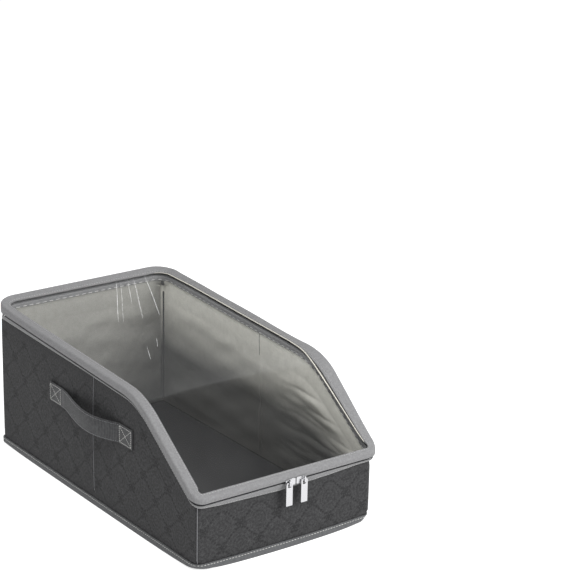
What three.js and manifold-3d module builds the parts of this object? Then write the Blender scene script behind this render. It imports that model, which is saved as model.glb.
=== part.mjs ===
// A soft zippered case that stores and carries baseball caps, lying on its base.
//
// The case is a fabric box with a low front and a high back, joined by a sloping front part.
// A clear film lid, bound in grey tape, follows the slope. It is hinged on a cloth tape along
// the back and closed by a coil zip round the other three sides, with two sliders that meet
// near the middle of the front. A strap handle is sewn to each side.
//
// Millimetres. +Z is up, the front faces -Y, and the origin is the middle of the underside.
// The zip line is the closed path that the rim and the lid are measured from: u is the level
// distance out from the wall, and v is the distance up from the path, along the wall.

import * as THREE from "three";
import Module from "manifold-3d";

const wasm = await Module();
wasm.setup();

// Overall sizes
const bodyWidth = 240; // outside the fabric, left to right
const bodyDepth = 436; // outside the fabric, front to back
const frontHeight = 81.7; // floor to the zip line along the front
const bendHeight = 162.3; // floor to the zip line where the slope ends
const backHeight = 176.6; // floor to the zip line along the back
const bendFromFront = 114; // front to where the slope ends
const bendRadius = 90; // rounding of the side outline there
const creaseFromFront = 214; // the upright fold line in each side wall

// Cloth, board, tape and film
const clearance = 0.3; // between pieces that touch on the real case
const wallThickness = 2; // outer fabric on its board
const liningThickness = 1;
const basePanelThickness = 2.5;
const tapeThickness = 0.8;
const bindingThickness = 1;
const lidBindingThickness = 1.2;
const filmThickness = 0.5;
const filmSag = 3; // how far the film hangs in the middle of each flat stretch
const frontBow = 3; // how far the front wall swells
const sideBow = 1.5; // how far the side and back walls swell
const creaseDepth = 0.7;
const creaseHalfWidth = 2;

// Rim, zip and lid, in the u and v of the zip line
const wallTop = 3.2; // v of the walls' and the lining's top edge
const rimInnerLeg = 6; // how far the rim binding comes down inside
const rimOuterLeg = 8.4; // and outside
const tapeAtZip = 4.3; // u of both zip tapes' inner faces beside the zip line
const tapeMeeting = 0.6; // half the slit between the two zip tapes
const lidRise = 9.7; // lid's top face above the zip line's surface
const frontBandWidth = 8.5; // grey band on top of the film, along the front
const sideBandWidth = 12.5; // and along the sides and the back
const lidBandUnder = 6; // the zip tape's leg under the film
const skirtStandOff = 0.9; // between the lid's zip tape and the lid binding's skirt
const skirtBottom = 1.2; // v of the lid binding's lower edge
const lidCornerRound = 2.4; // rounding between the lid's band and its skirt

// Base binding
const baseBindingHeight = 9.3;
const footCornerHigh = 10; // radius of the front corners at the base binding's top edge
const footCornerLow = 20; // and at the floor
const baseCornerLift = 1.9; // how far the foot curls up at the four corners
const baseCurlWidth = 25; // how far in from the edge the underside starts to curl
const baseBindingThickness = 1.6;
const baseBindingRound = 1.2;

// Coil of the zip, behind the tapes
const coilThickness = 1.3;
const coilHalfHeight = 1.6;

// Sliders and pulls
const slidersMeetAt = 6.6; // x of the point midway between the two pulls
const pullSpacing = 20.5; // between the two pulls' middles
const sliderLength = 13.4;
const sliderNoseFromPull = 9.6; // pull's middle to the slider's end that meets the other slider
const sliderHeight = 8;
const sliderFrontPlate = 1;
const sliderBackPlate = 0.6;
const sliderNeckHeight = 0.5;
const sliderNeckLength = 5;
const axleFromPlate = 1.5; // pull's axle to the slider's front face
const bridgeInnerHalfHeight = 2;
const bridgeBar = 1.1;
const bridgeWidth = 1.8;
const bridgeClearance = 1.3; // pull's axle to the inside of the bridge
const pullWidth = 8.8;
const pullLength = 28;
const pullThickness = 1.6;
const pullEyeLength = 4.6; // hole, along the pull
const pullEyeWidth = 4.4;
const pullCornerRadius = 1;

// Handles
const handleWidth = 24;
const handleThickness = 1.5;
const handleLength = 184;
const handleFromFront = 127; // front to the handle's front end
const handleMiddleHeight = 112;
const handlePatchLength = 28; // sewn flat at each end
const handleBow = 12.5; // how far the strap stands off the wall
const handleDrop = 1.5; // how far its middle hangs
const handleBowPeak = 0.4; // where it stands off most, as a share of its free length from the front
const handleBowEase = 1.3; // how softly the strap leaves its sewn ends

const floorTop = basePanelThickness + clearance;

// How the walls change from the floor seam to the foot of the rim. height is a share of that
// rise, frontCorner and backCorner are corner radii seen from above, and front and side are
// shares of the two bows.
const wallSections = [
  { height: 0, frontCorner: footCorner(floorTop), backCorner: 5, front: 1, side: 0.3 },
  { height: 0.1, frontCorner: footCornerHigh, backCorner: 5, front: 1, side: 0.45 },
  { height: 0.17, frontCorner: 5, backCorner: 5, front: 0.98, side: 0.6 },
  { height: 0.4, frontCorner: 4.5, backCorner: 4.5, front: 0.85, side: 1 },
  { height: 0.7, frontCorner: 4.5, backCorner: 4.5, front: 0.5, side: 1 },
  { height: 0.9, frontCorner: 4.5, backCorner: 4.5, front: 0.15, side: 0.4 },
  { height: 1, frontCorner: 4.5, backCorner: 5, front: 0, side: 0 },
];

// And above it, by v, where the walls' corners turn into the zip line's wider ones.
const rimSections = [
  { v: -12, frontCorner: 4.5, backCorner: 5 },
  { v: -5, frontCorner: 6.5, backCorner: 22 },
];

// How far below the zip line the body zip tape is sewn down. at is the share of the way across
// the front from left to right, or along a side from front to back.
const tapeDrops = {
  front: [
    { at: 0, drop: 4.6 },
    { at: 0.12, drop: 7 },
    { at: 0.45, drop: 9.6 },
    { at: 0.75, drop: 7.2 },
    { at: 0.9, drop: 4.8 },
    { at: 1, drop: 4.6 },
  ],
  side: [
    { at: 0, drop: 4.6 },
    { at: 0.5, drop: 5 },
    { at: 1, drop: 9 },
  ],
};

const halfWidth = bodyWidth / 2;
const halfDepth = bodyDepth / 2;
const cornerSteps = 4; // facets in each corner
const endStraightSteps = 4; // facets along the front and the back
const rimRadii = cornerRadii(rimSections[rimSections.length - 1], 0);

const fabric = new THREE.MeshStandardMaterial({ color: 0x3f4042, roughness: 0.95, metalness: 0 });
const baseCloth = new THREE.MeshStandardMaterial({ color: 0x353638, roughness: 0.95, metalness: 0 });
const liningCloth = new THREE.MeshStandardMaterial({ color: 0x9b9a95, roughness: 0.85, metalness: 0 });
const greyTape = new THREE.MeshStandardMaterial({ color: 0x8f8f8d, roughness: 0.9, metalness: 0 });
const bottomTape = new THREE.MeshStandardMaterial({ color: 0x6f7071, roughness: 0.9, metalness: 0 });
const coilPlastic = new THREE.MeshStandardMaterial({ color: 0x2a2b2d, roughness: 0.5, metalness: 0 });
const webbing = new THREE.MeshStandardMaterial({ color: 0x4a4b4e, roughness: 0.85, metalness: 0 });
const zipMetal = new THREE.MeshStandardMaterial({ color: 0xe2e3e5, roughness: 0.22, metalness: 1 });
const clearFilm = new THREE.MeshStandardMaterial({
  color: 0xf4f6f7,
  roughness: 0.08,
  metalness: 0,
  transparent: true,
  opacity: 0.2,
});

const case_ = new THREE.Group();

// Height and steepness of the zip line's surface at y. Two straight slopes are joined by a
// parabola that touches both, as long as an arc of bendRadius would be.
const frontSlope = (bendHeight - frontHeight) / bendFromFront;
const topSlope = (backHeight - bendHeight) / (bodyDepth - bendFromFront);
const bendY = bendFromFront - halfDepth;
const bendReach = bendRadius * Math.tan((Math.atan(frontSlope) - Math.atan(topSlope)) / 2);
function zipSurface(y) {
  const fromBend = y - bendY;
  if (fromBend <= -bendReach) return { z: bendHeight + frontSlope * fromBend, slope: frontSlope };
  if (fromBend >= bendReach) return { z: bendHeight + topSlope * fromBend, slope: topSlope };
  const share = (fromBend + bendReach) / (2 * bendReach);
  const slope = frontSlope + (topSlope - frontSlope) * share;
  const start = bendHeight - frontSlope * bendReach;
  return { z: start + (2 * bendReach * share * (frontSlope + slope)) / 2, slope };
}

// A section's corner radii, grown outwards by a distance or shrunk inwards by a negative one.
function cornerRadii({ frontCorner, backCorner }, grown) {
  const least = liningThickness / 2;
  return { front: Math.max(frontCorner + grown, least), back: Math.max(backCorner + grown, least) };
}

// Radius of the front corners at a height above the floor, down by the base binding.
function footCorner(z) {
  return footCornerLow + ((footCornerHigh - footCornerLow) * z) / baseBindingHeight;
}

// The walls' corner radii at a v, near the rim.
function rimCorners(v) {
  const [foot, top] = rimSections;
  const share = Math.min(1, Math.max(0, (v - foot.v) / (top.v - foot.v)));
  const mix = (key) => foot[key] + (top[key] - foot[key]) * share;
  return { frontCorner: mix("frontCorner"), backCorner: mix("backCorner") };
}

// Places along a side wall, front to back, where the shape turns.
function sideCuts() {
  const creaseY = creaseFromFront - halfDepth;
  const cuts = [-1, -0.5, 0, 0.5, 1].map((share) => bendY + share * bendReach);
  cuts.push(creaseY - creaseHalfWidth, creaseY, creaseY + creaseHalfWidth);
  cuts.push((creaseY + halfDepth) / 2);
  const [low, high] = [-halfDepth + rimRadii.front + 1, halfDepth - rimRadii.back - 1];
  return cuts.filter((y) => y > low && y < high).sort((a, b) => a - b);
}

// One loop of stations round the case: front, right, back, left, counter-clockwise from above.
// A station on a straight holds its place along it, and one in a corner its turning angle.
function makeStations() {
  const list = [];
  const quarter = Math.PI / 2;
  const sides = sideCuts();
  const ends = Array.from({ length: endStraightSteps - 1 }, (_, i) => (i + 1) / endStraightSteps);
  const straights = { front: ends, right: sides, back: ends, left: [...sides].reverse() };
  ["front", "right", "back", "left"].forEach((wall, index) => {
    for (const at of straights[wall]) list.push({ wall, at });
    for (let step = 0; step <= cornerSteps; step++) {
      const turn = step / cornerSteps;
      list.push({ wall: "corner", index, turn, angle: (index - 1 + turn) * quarter });
    }
  });
  return list;
}
const stations = makeStations();

// Plan place and outward direction of a station on an outline with these half sizes and corners.
// along is the share of the way along a straight, and share the same for the whole side.
function onOutline(station, halfX, halfY, radii) {
  const { wall, at, angle, index } = station;
  if (wall === "front" || wall === "back") {
    const side = wall === "front" ? -1 : 1;
    const straight = halfX - radii[wall];
    return { x: side * (straight - 2 * straight * at), y: side * halfY, nx: 0, ny: side, along: at };
  }
  if (wall === "right" || wall === "left") {
    const side = wall === "right" ? 1 : -1;
    const [low, high] = [-halfY + radii.front, halfY - radii.back];
    return { x: side * halfX, y: at, nx: side, ny: 0, along: (at - low) / (high - low) };
  }
  const cornerX = index < 2 ? 1 : -1;
  const isFront = index === 0 || index === 3;
  const radius = isFront ? radii.front : radii.back;
  const nx = Math.cos(angle);
  const ny = Math.sin(angle);
  return {
    x: cornerX * (halfX - radius) + radius * nx,
    y: (isFront ? -1 : 1) * (halfY - radius) + radius * ny,
    nx,
    ny,
    along: 0,
  };
}

// A table's value between its rows.
function fromTable(rows, at, key) {
  const above = Math.max(1, rows.findIndex((row) => row.at >= at));
  const [low, high] = [rows[above - 1], rows[above]];
  return low[key] + ((high[key] - low[key]) * (at - low.at)) / (high.at - low.at);
}

// How far the body zip tape comes down at a station.
function tapeDrop(station) {
  const { x, y, nx, ny } = onOutline(station, halfWidth, halfDepth, rimRadii);
  const across = Math.min(1, Math.max(0, (x + halfWidth) / bodyWidth));
  const back = Math.min(1, Math.max(0, (y + halfDepth) / bodyDepth));
  const onSide = fromTable(tapeDrops.side, back, "drop");
  if (ny >= 0) return onSide;
  return onSide + (fromTable(tapeDrops.front, across, "drop") - onSide) * (1 - Math.abs(nx));
}

// Width of the lid's grey band at a station.
function bandWidth(station) {
  const { nx, ny } = onOutline(station, halfWidth, halfDepth, rimRadii);
  return ny >= 0 ? sideBandWidth : frontBandWidth + (sideBandWidth - frontBandWidth) * Math.abs(nx);
}

// The zip line at a station, with the directions that the sections are drawn in. up is plumb,
// and long enough that one step of v is 1 mm square to the path. Other corner radii give the
// line that the walls follow lower down.
function onZipLine(station, radii = rimRadii) {
  const plan = onOutline(station, halfWidth, halfDepth, radii);
  const { z, slope } = zipSurface(plan.y);
  const out = new THREE.Vector3(plan.nx, plan.ny, 0);
  const climb = new THREE.Vector3(-plan.ny, plan.nx, slope * plan.nx);
  const up = new THREE.Vector3(0, 0, climb.length());
  const lidNormal = new THREE.Vector3(0, -slope, 1).normalize();
  return {
    origin: new THREE.Vector3(plan.x, plan.y, z),
    out,
    up,
    tangent: climb.normalize(),
    sinTilt: out.dot(lidNormal),
    cosTilt: up.dot(lidNormal),
  };
}

// A closed body from its points and triangles, with the faces turned outwards.
function solidFrom(points, faces) {
  const volume = faces.reduce((sum, [a, b, c]) => {
    const cross = new THREE.Vector3().crossVectors(points[b], points[c]);
    return sum + points[a].dot(cross) / 6;
  }, 0);
  const turned = volume < 0 ? faces.map(([a, b, c]) => [a, c, b]) : faces;
  const geometry = new THREE.BufferGeometry();
  geometry.setAttribute("position", new THREE.Float32BufferAttribute(points.flatMap((p) => p.toArray()), 3));
  geometry.setIndex(turned.flat());
  geometry.computeVertexNormals();
  return geometry;
}

// A four-sided face as two triangles. It is always split from the lower or inner corner of its
// first edge, so that surfaces that run side by side are split alike.
function quad(points, a, b, c, d) {
  const rank = (p) => p.z + 0.01 * Math.hypot(p.x, p.y);
  return rank(points[d]) < rank(points[a]) ? [[a, b, d], [b, c, d]] : [[a, b, c], [a, c, d]];
}

// A body whose section, a list of points, is carried from station to station. An open run is
// capped at both ends, by the section's own outline flattened to (across, along).
function carried(sections, closed) {
  const count = sections[0].points.length;
  const points = sections.flatMap((section) => section.points);
  const faces = [];
  const spans = closed ? sections.length : sections.length - 1;
  for (let i = 0; i < spans; i++) {
    const here = i * count;
    const next = ((i + 1) % sections.length) * count;
    for (let k = 0; k < count; k++) {
      const after = (k + 1) % count;
      faces.push(...quad(points, here + k, next + k, next + after, here + after));
    }
  }
  if (!closed) {
    for (const [index, flip] of [[0, false], [sections.length - 1, true]]) {
      const flat = sections[index].flat.map(([a, b]) => new THREE.Vector2(a, b));
      const turned = THREE.ShapeUtils.area(flat) < 0;
      const corner = index * count;
      for (const [a, b, c] of THREE.ShapeUtils.triangulateShape(flat, [])) {
        faces.push(flip === turned ? [corner + a, corner + b, corner + c] : [corner + a, corner + c, corner + b]);
      }
    }
  }
  return solidFrom(points, faces);
}

// A tub: rings of points round the case, closed by a middle point at its start and its end.
function tub(rings, bottomMiddle, topMiddle) {
  const count = rings[0].length;
  const points = rings.flat();
  const faces = [];
  const bottom = points.push(bottomMiddle) - 1;
  const top = points.push(topMiddle) - 1;
  for (let i = 0; i < count; i++) {
    const next = (i + 1) % count;
    faces.push([bottom, next, i]);
    for (let ring = 0; ring < rings.length - 1; ring++) {
      const low = ring * count;
      const high = low + count;
      faces.push(...quad(points, low + i, low + next, high + next, high + i));
    }
    const last = (rings.length - 1) * count;
    faces.push([last + i, last + next, top]);
  }
  return solidFrom(points, faces);
}

function addPiece(name, geometry, material) {
  const mesh = new THREE.Mesh(geometry, material);
  mesh.name = name;
  case_.add(mesh);
  return mesh;
}

function asManifold(geometry) {
  const flat = geometry.index ? geometry.toNonIndexed() : geometry;
  const places = flat.getAttribute("position");
  const seen = new Map();
  const vertices = [];
  const triangles = [];
  for (let i = 0; i < places.count; i++) {
    const point = [places.getX(i), places.getY(i), places.getZ(i)];
    const key = point.map((value) => Math.round(value * 1e4)).join();
    if (!seen.has(key)) {
      seen.set(key, vertices.length / 3);
      vertices.push(...point);
    }
    triangles.push(seen.get(key));
  }
  const mesh = new wasm.Mesh({
    numProp: 3,
    vertProperties: new Float32Array(vertices),
    triVerts: new Uint32Array(triangles),
  });
  return new wasm.Manifold(mesh);
}

function asGeometry(manifold) {
  const mesh = manifold.getMesh();
  const geometry = new THREE.BufferGeometry();
  geometry.setAttribute("position", new THREE.Float32BufferAttribute(mesh.vertProperties, 3));
  geometry.setIndex(Array.from(mesh.triVerts));
  return geometry;
}

// A box between two corners.
function block(low, high) {
  const size = high.map((value, axis) => value - low[axis]);
  const geometry = new THREE.BoxGeometry(...size);
  geometry.translate(...low.map((value, axis) => value + size[axis] / 2));
  return geometry;
}

// The wall's section table at any share of its height, between its rows.
function wallRow(height) {
  const above = Math.max(1, wallSections.findIndex((row) => row.height >= height));
  const [low, high] = [wallSections[above - 1], wallSections[above]];
  const share = (height - low.height) / (high.height - low.height);
  const mixed = Object.keys(low).map((key) => [key, low[key] + (high[key] - low[key]) * share]);
  return Object.fromEntries(mixed);
}

// How far a wall swells beyond its straight line, at a share of its height and its length.
function bowAt(wall, row, along) {
  const size = wall === "front" ? frontBow * row.front : sideBow * row.side;
  return size * Math.sin(Math.PI * Math.min(1, Math.max(0, along)));
}

// The rows of a wall or its lining: the two tables', and the top edge, straight above the last.
const [rimFoot, rimTurn] = rimSections;
const wallRows = [
  ...wallSections.map((row) => ({ height: row.height, v: rimFoot.v })),
  { height: 1, v: rimTurn.v },
  { height: 1, v: wallTop },
];

// Point of a wall at a station and a row, at a depth in from the wall's outside.
function wallPoint(station, { height, v }, depth, bottomZ) {
  const shares = wallRow(height);
  const corners = height < 1 ? shares : rimCorners(v);
  const outside = onOutline(station, halfWidth, halfDepth, cornerRadii(corners, 0));
  const plan = onOutline(station, halfWidth - depth, halfDepth - depth, cornerRadii(corners, -depth));
  const { up } = onZipLine(station);
  const creaseOff = Math.abs(plan.y - (creaseFromFront - halfDepth));
  const sideWall = station.wall === "left" || station.wall === "right";
  const inCrease = sideWall && depth === 0 && creaseOff < creaseHalfWidth / 2 && height < 1;
  const swell = bowAt(station.wall, shares, plan.along) - (inCrease ? creaseDepth : 0);
  const z = bottomZ + height * (zipSurface(outside.y).z + up.z * v - bottomZ);
  return new THREE.Vector3(plan.x + plan.nx * swell, plan.y + plan.ny * swell, z);
}

// The four walls meet at the middle of each corner, a clearance apart.
function buildWalls() {
  const count = stations.length;
  const middles = [0, 1, 2, 3].map((index) =>
    stations.findIndex((s) => s.wall === "corner" && s.index === index) + cornerSteps / 2);
  const spans = { front_wall: [3, 0], right_wall: [0, 1], back_wall: [1, 2], left_wall: [2, 3] };
  for (const [name, [from, to]] of Object.entries(spans)) {
    const run = [];
    for (let i = middles[from]; ; i = (i + 1) % count) {
      run.push(stations[i]);
      if (i === middles[to]) break;
    }
    const sections = run.map((station, index) => {
      const outer = wallRows.map((row) => wallPoint(station, row, 0, floorTop));
      const inner = wallRows.map((row) => wallPoint(station, row, wallThickness, floorTop));
      const points = [...outer, ...inner.reverse()];
      const inward = index === 0 ? 1 : index === run.length - 1 ? -1 : 0;
      const step = onZipLine(station).tangent.setZ(0).normalize().multiplyScalar((inward * clearance) / 2);
      const { out } = onZipLine(station);
      const flat = points.map((p) => [p.dot(out), p.z]);
      return { points: points.map((p) => p.add(step)), flat };
    });
    addPiece(name, carried(sections, false), fabric);
  }
}

// Lining: a thin tub inside the walls, with a floor of its own.
function buildLining() {
  const outside = wallThickness + clearance;
  const inside = outside + liningThickness;
  const floorUnder = floorTop;
  const floorOver = floorUnder + liningThickness;
  const ring = (row, depth, bottom) => stations.map((station) => wallPoint(station, row, depth, bottom));
  const outer = wallRows.map((row) => ring(row, outside, floorUnder));
  const inner = wallRows.map((row) => ring(row, inside, floorOver)).reverse();
  const under = new THREE.Vector3(0, 0, floorUnder);
  const over = new THREE.Vector3(0, 0, floorOver);
  addPiece("lining", tub([...outer, ...inner], under, over), liningCloth);
}

// Outline of the case near the floor, swollen at the front as the walls are. Its corners curl up
// by a share of baseCornerLift.
function baseRing(z, out, curl) {
  const row = wallSections[0];
  const radii = cornerRadii({ frontCorner: footCorner(z), backCorner: row.backCorner }, out);
  return stations.map((station) => {
    const plan = onOutline(station, halfWidth + out, halfDepth + out, radii);
    const swell = bowAt(station.wall, row, plan.along);
    const fromEnd = Math.abs(2 * plan.along - 1);
    const lift = station.wall === "corner" ? 1 : fromEnd ** 6;
    const x = plan.x + plan.nx * swell;
    const y = plan.y + plan.ny * swell;
    return new THREE.Vector3(x, y, z + lift * curl * baseCornerLift);
  });
}

function buildBase() {
  const rings = [
    baseRing(0, -baseCurlWidth, 0),
    baseRing(0, 0, 1),
    baseRing(basePanelThickness, 0, 0),
    baseRing(basePanelThickness, -baseCurlWidth, 0),
  ];
  const low = new THREE.Vector3(0, 0, 0);
  const high = new THREE.Vector3(0, 0, basePanelThickness);
  addPiece("base_panel", tub(rings, low, high), baseCloth);

  const inside = clearance;
  const outside = inside + baseBindingThickness;
  const section = [
    { out: inside, z: 0, curl: 1 },
    { out: outside - baseBindingRound, z: 0, curl: 1 },
    { out: outside, z: baseBindingRound, curl: 1 },
    { out: outside, z: baseBindingHeight - baseBindingRound, curl: 0 },
    { out: outside - baseBindingRound / 2, z: baseBindingHeight, curl: 0 },
    { out: inside, z: baseBindingHeight, curl: 0 },
    { out: inside, z: basePanelThickness, curl: 0 },
  ];
  const corners = section.map(({ out, z, curl }) => baseRing(z, out, curl));
  const sections = stations.map((_, i) => ({ points: corners.map((ring) => ring[i]) }));
  addPiece("base_binding", carried(sections, true), bottomTape);
}

// A piece drawn on the zip line. outline gives a station's section as (u, v) pairs. A pair that
// is marked onWall follows the walls' corners at its v.
function alongZip(run, closed, outline, endGap = 0) {
  const sections = run.map((station, index) => {
    const frame = onZipLine(station);
    const flat = outline(frame, station);
    const points = flat.map(([u, v, onWall]) => {
      const { origin, out, up } = onWall ? onZipLine(station, cornerRadii(rimCorners(v), 0)) : frame;
      return origin.clone().addScaledVector(out, u).addScaledVector(up, v);
    });
    if (!closed && endGap) {
      const inward = index === 0 ? 1 : index === run.length - 1 ? -1 : 0;
      points.forEach((p) => p.addScaledVector(frame.tangent, inward * endGap));
    }
    return { points, flat };
  });
  return carried(sections, closed);
}

// v at distance u, on a sheet that lies a given offset above the zip line's surface.
function sheetV(frame, u, offset) {
  return (offset - u * frame.sinTilt) / frame.cosTilt;
}

// Moves in along such a sheet by a distance.
function inAlong(frame, [u, v], distance) {
  return [u - frame.cosTilt * distance, v + frame.sinTilt * distance];
}

const filmUnder = lidRise - lidBindingThickness - clearance - filmThickness;
const underLegTop = filmUnder - clearance;
const tapeOutside = tapeAtZip + tapeThickness;
const skirtInside = tapeOutside + skirtStandOff;
const skirtOutside = skirtInside + bindingThickness;

function buildRimBinding() {
  const inside = -(wallThickness + clearance + liningThickness + clearance);
  const capUnder = wallTop + clearance;
  const capTop = capUnder + bindingThickness;
  const edge = bindingThickness / 2;
  const outline = () => [
    [inside - bindingThickness, capTop - rimInnerLeg],
    [inside, capTop - rimInnerLeg],
    [inside, capUnder],
    [clearance, capUnder],
    [clearance, capTop - rimOuterLeg],
    [clearance + bindingThickness, capTop - rimOuterLeg],
    [clearance + bindingThickness, capTop - edge],
    [clearance + bindingThickness - edge, capTop],
    [inside - bindingThickness + edge, capTop],
    [inside - bindingThickness, capTop - edge],
  ];
  addPiece("rim_binding", alongZip(stations, true, outline), greyTape);
}

// The zip runs from the middle of one back corner, round the front, to the other.
function zipRun() {
  const start = stations.findIndex((s) => s.wall === "corner" && s.index === 2) + cornerSteps / 2;
  const end = stations.findIndex((s) => s.wall === "corner" && s.index === 1) + cornerSteps / 2;
  return [...stations.slice(start), ...stations.slice(0, end + 1)];
}

function hingeRun() {
  const start = stations.findIndex((s) => s.wall === "corner" && s.index === 1) + cornerSteps / 2;
  const end = stations.findIndex((s) => s.wall === "corner" && s.index === 2) + cornerSteps / 2;
  return stations.slice(start, end + 1);
}

// Body zip tape: sewn to the wall at its foot, and standing off at the zip line.
const tapeFoot = clearance + bindingThickness + clearance;
const tapeKnee = -(coilHalfHeight + 2 * clearance);
const bodyTapeOutline = (frame, station) => [
  [tapeFoot, -tapeDrop(station), true],
  [tapeFoot + tapeThickness, -tapeDrop(station), true],
  [tapeOutside, tapeKnee],
  [tapeOutside, -tapeMeeting],
  [tapeAtZip, -tapeMeeting],
  [tapeAtZip, tapeKnee],
];

// Lid zip tape: up from the zip line, then in under the film.
function lidTapeOutline(frame, lowEdge) {
  const outerCorner = [tapeOutside, sheetV(frame, tapeOutside, underLegTop)];
  const innerCorner = [tapeAtZip, sheetV(frame, tapeAtZip, underLegTop - tapeThickness)];
  const outerEnd = inAlong(frame, outerCorner, lidBandUnder);
  const innerEnd = inAlong(frame, innerCorner, lidBandUnder - tapeThickness);
  return [...lowEdge, outerCorner, outerEnd, innerEnd, innerCorner];
}

function buildZipTapes() {
  const run = zipRun();
  const lowEdge = [[tapeAtZip, tapeMeeting], [tapeOutside, tapeMeeting]];
  addPiece("body_zip_tape", alongZip(run, false, bodyTapeOutline, clearance), greyTape);
  addPiece("lid_zip_tape", alongZip(run, false, (f) => lidTapeOutline(f, lowEdge), clearance), greyTape);

  const hingeOutline = (frame, station) => {
    const foot = [
      [tapeAtZip, 0],
      [tapeFoot, -tapeDrop(station), true],
      [tapeFoot + tapeThickness, -tapeDrop(station), true],
      [tapeOutside, 0],
    ];
    return lidTapeOutline(frame, foot);
  };
  addPiece("hinge_tape", alongZip(hingeRun(), false, hingeOutline), greyTape);
}

// The coil's closed stretches end at each slider's neck.
function buildCoil() {
  const back = tapeAtZip - clearance - coilThickness;
  const front = tapeAtZip - clearance;
  const soft = coilThickness / 3;
  const outline = () => [
    [back, -coilHalfHeight + soft],
    [back + soft, -coilHalfHeight],
    [front, -coilHalfHeight],
    [front, coilHalfHeight],
    [back + soft, coilHalfHeight],
    [back, coilHalfHeight - soft],
  ];
  const run = zipRun();
  const middle = run.findIndex((s) => s.wall === "front");
  const frontY = -halfDepth;
  for (const [name, side] of [["zip_coil_left", -1], ["zip_coil_right", 1]]) {
    const stop = slidersMeetAt + side * (pullSpacing / 2 + sliderNeckLength / 2 + clearance);
    const straight = halfWidth - rimRadii.front;
    const end = { wall: "front", at: (stop + straight) / (2 * straight) };
    const onSide = (s) => s.wall !== "front" || side * (onOutline(s, halfWidth, -frontY, rimRadii).x - stop) > 1;
    const part = side < 0
      ? [...run.slice(0, middle).filter(onSide), ...run.filter((s) => s.wall === "front" && onSide(s)), end]
      : [end, ...run.slice(middle).filter(onSide)];
    addPiece(name, alongZip(part, false, outline, clearance), coilPlastic);
  }
}

function buildLidBinding() {
  const outline = (frame, station) => {
    const width = bandWidth(station);
    const outerCorner = [skirtOutside, sheetV(frame, skirtOutside, lidRise)];
    const innerCorner = [skirtInside, sheetV(frame, skirtInside, lidRise - lidBindingThickness)];
    const outerEnd = inAlong(frame, outerCorner, width);
    const innerEnd = inAlong(frame, innerCorner, width - bindingThickness);
    const roundTop = inAlong(frame, outerCorner, lidCornerRound);
    const roundSide = [skirtOutside, outerCorner[1] - lidCornerRound];
    const roundMiddle = [0, 1].map((i) => (roundTop[i] + roundSide[i] + 1.2 * outerCorner[i]) / 3.2);
    return [
      [skirtInside, skirtBottom],
      [skirtOutside, skirtBottom],
      roundSide,
      roundMiddle,
      roundTop,
      outerEnd,
      innerEnd,
      innerCorner,
    ];
  };
  addPiece("lid_binding", alongZip(stations, true, outline), greyTape);
}

// Film: rows across the case, each at one place along the side outline.
function buildFilm() {
  const edge = tapeAtZip - clearance;
  const [halfX, halfY] = [halfWidth + edge, halfDepth + edge];
  const quarter = Math.PI / 2;
  const corner = Array.from({ length: cornerSteps + 1 }, (_, i) => (i / cornerSteps) * quarter);
  const rowAtCorner = (angle, end, radius) => ({
    y: end * (halfY - radius + radius * Math.cos(angle)),
    reach: halfX - radius + radius * Math.sin(angle),
    exact: true,
  });
  const rows = [
    ...corner.map((angle) => rowAtCorner(angle, -1, rimRadii.front + edge)),
    ...sideCuts().map((y) => ({ y, reach: halfX, exact: false })),
    ...corner.map((angle) => rowAtCorner(angle, 1, rimRadii.back + edge)).reverse(),
  ];
  const bandInside = edge + sideBandWidth;
  const stretches = [
    [-halfY + bandInside, bendY],
    [bendY, halfY - bandInside],
  ];
  const sagAlong = (y) => {
    const inside = stretches.find(([from, to]) => y > from && y < to);
    return inside ? Math.sin((Math.PI * (y - inside[0])) / (inside[1] - inside[0])) : 0;
  };
  const face = (offset) => rows.map(({ y, reach, exact }) => {
    let base = y;
    const shift = (at) => Math.sin(Math.atan(zipSurface(at).slope)) * offset;
    if (exact) base = y + shift(y);
    const { z, slope } = zipSurface(base);
    const flatReach = (reach - bandInside) / reach;
    const shares = [-1, -flatReach, -flatReach / 2, 0, flatReach / 2, flatReach, 1];
    return shares.map((share) => {
      const across = Math.max(0, 1 - (share / flatReach) ** 2);
      const lowered = offset - filmSag * across * sagAlong(base);
      const tilt = Math.atan(slope);
      const place = base - Math.sin(tilt) * offset;
      return new THREE.Vector3(share * reach, place, z + Math.cos(tilt) * lowered);
    });
  });
  const top = face(filmUnder + filmThickness);
  const under = face(filmUnder);
  const sections = top.map((row, i) => ({
    points: [...row, ...under[i].slice().reverse()],
    flat: [...row.map((p) => [-p.x, p.z]), ...under[i].slice().reverse().map((p) => [-p.x, p.z])],
  }));
  addPiece("lid_film", carried(sections, false), clearFilm);
}

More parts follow.
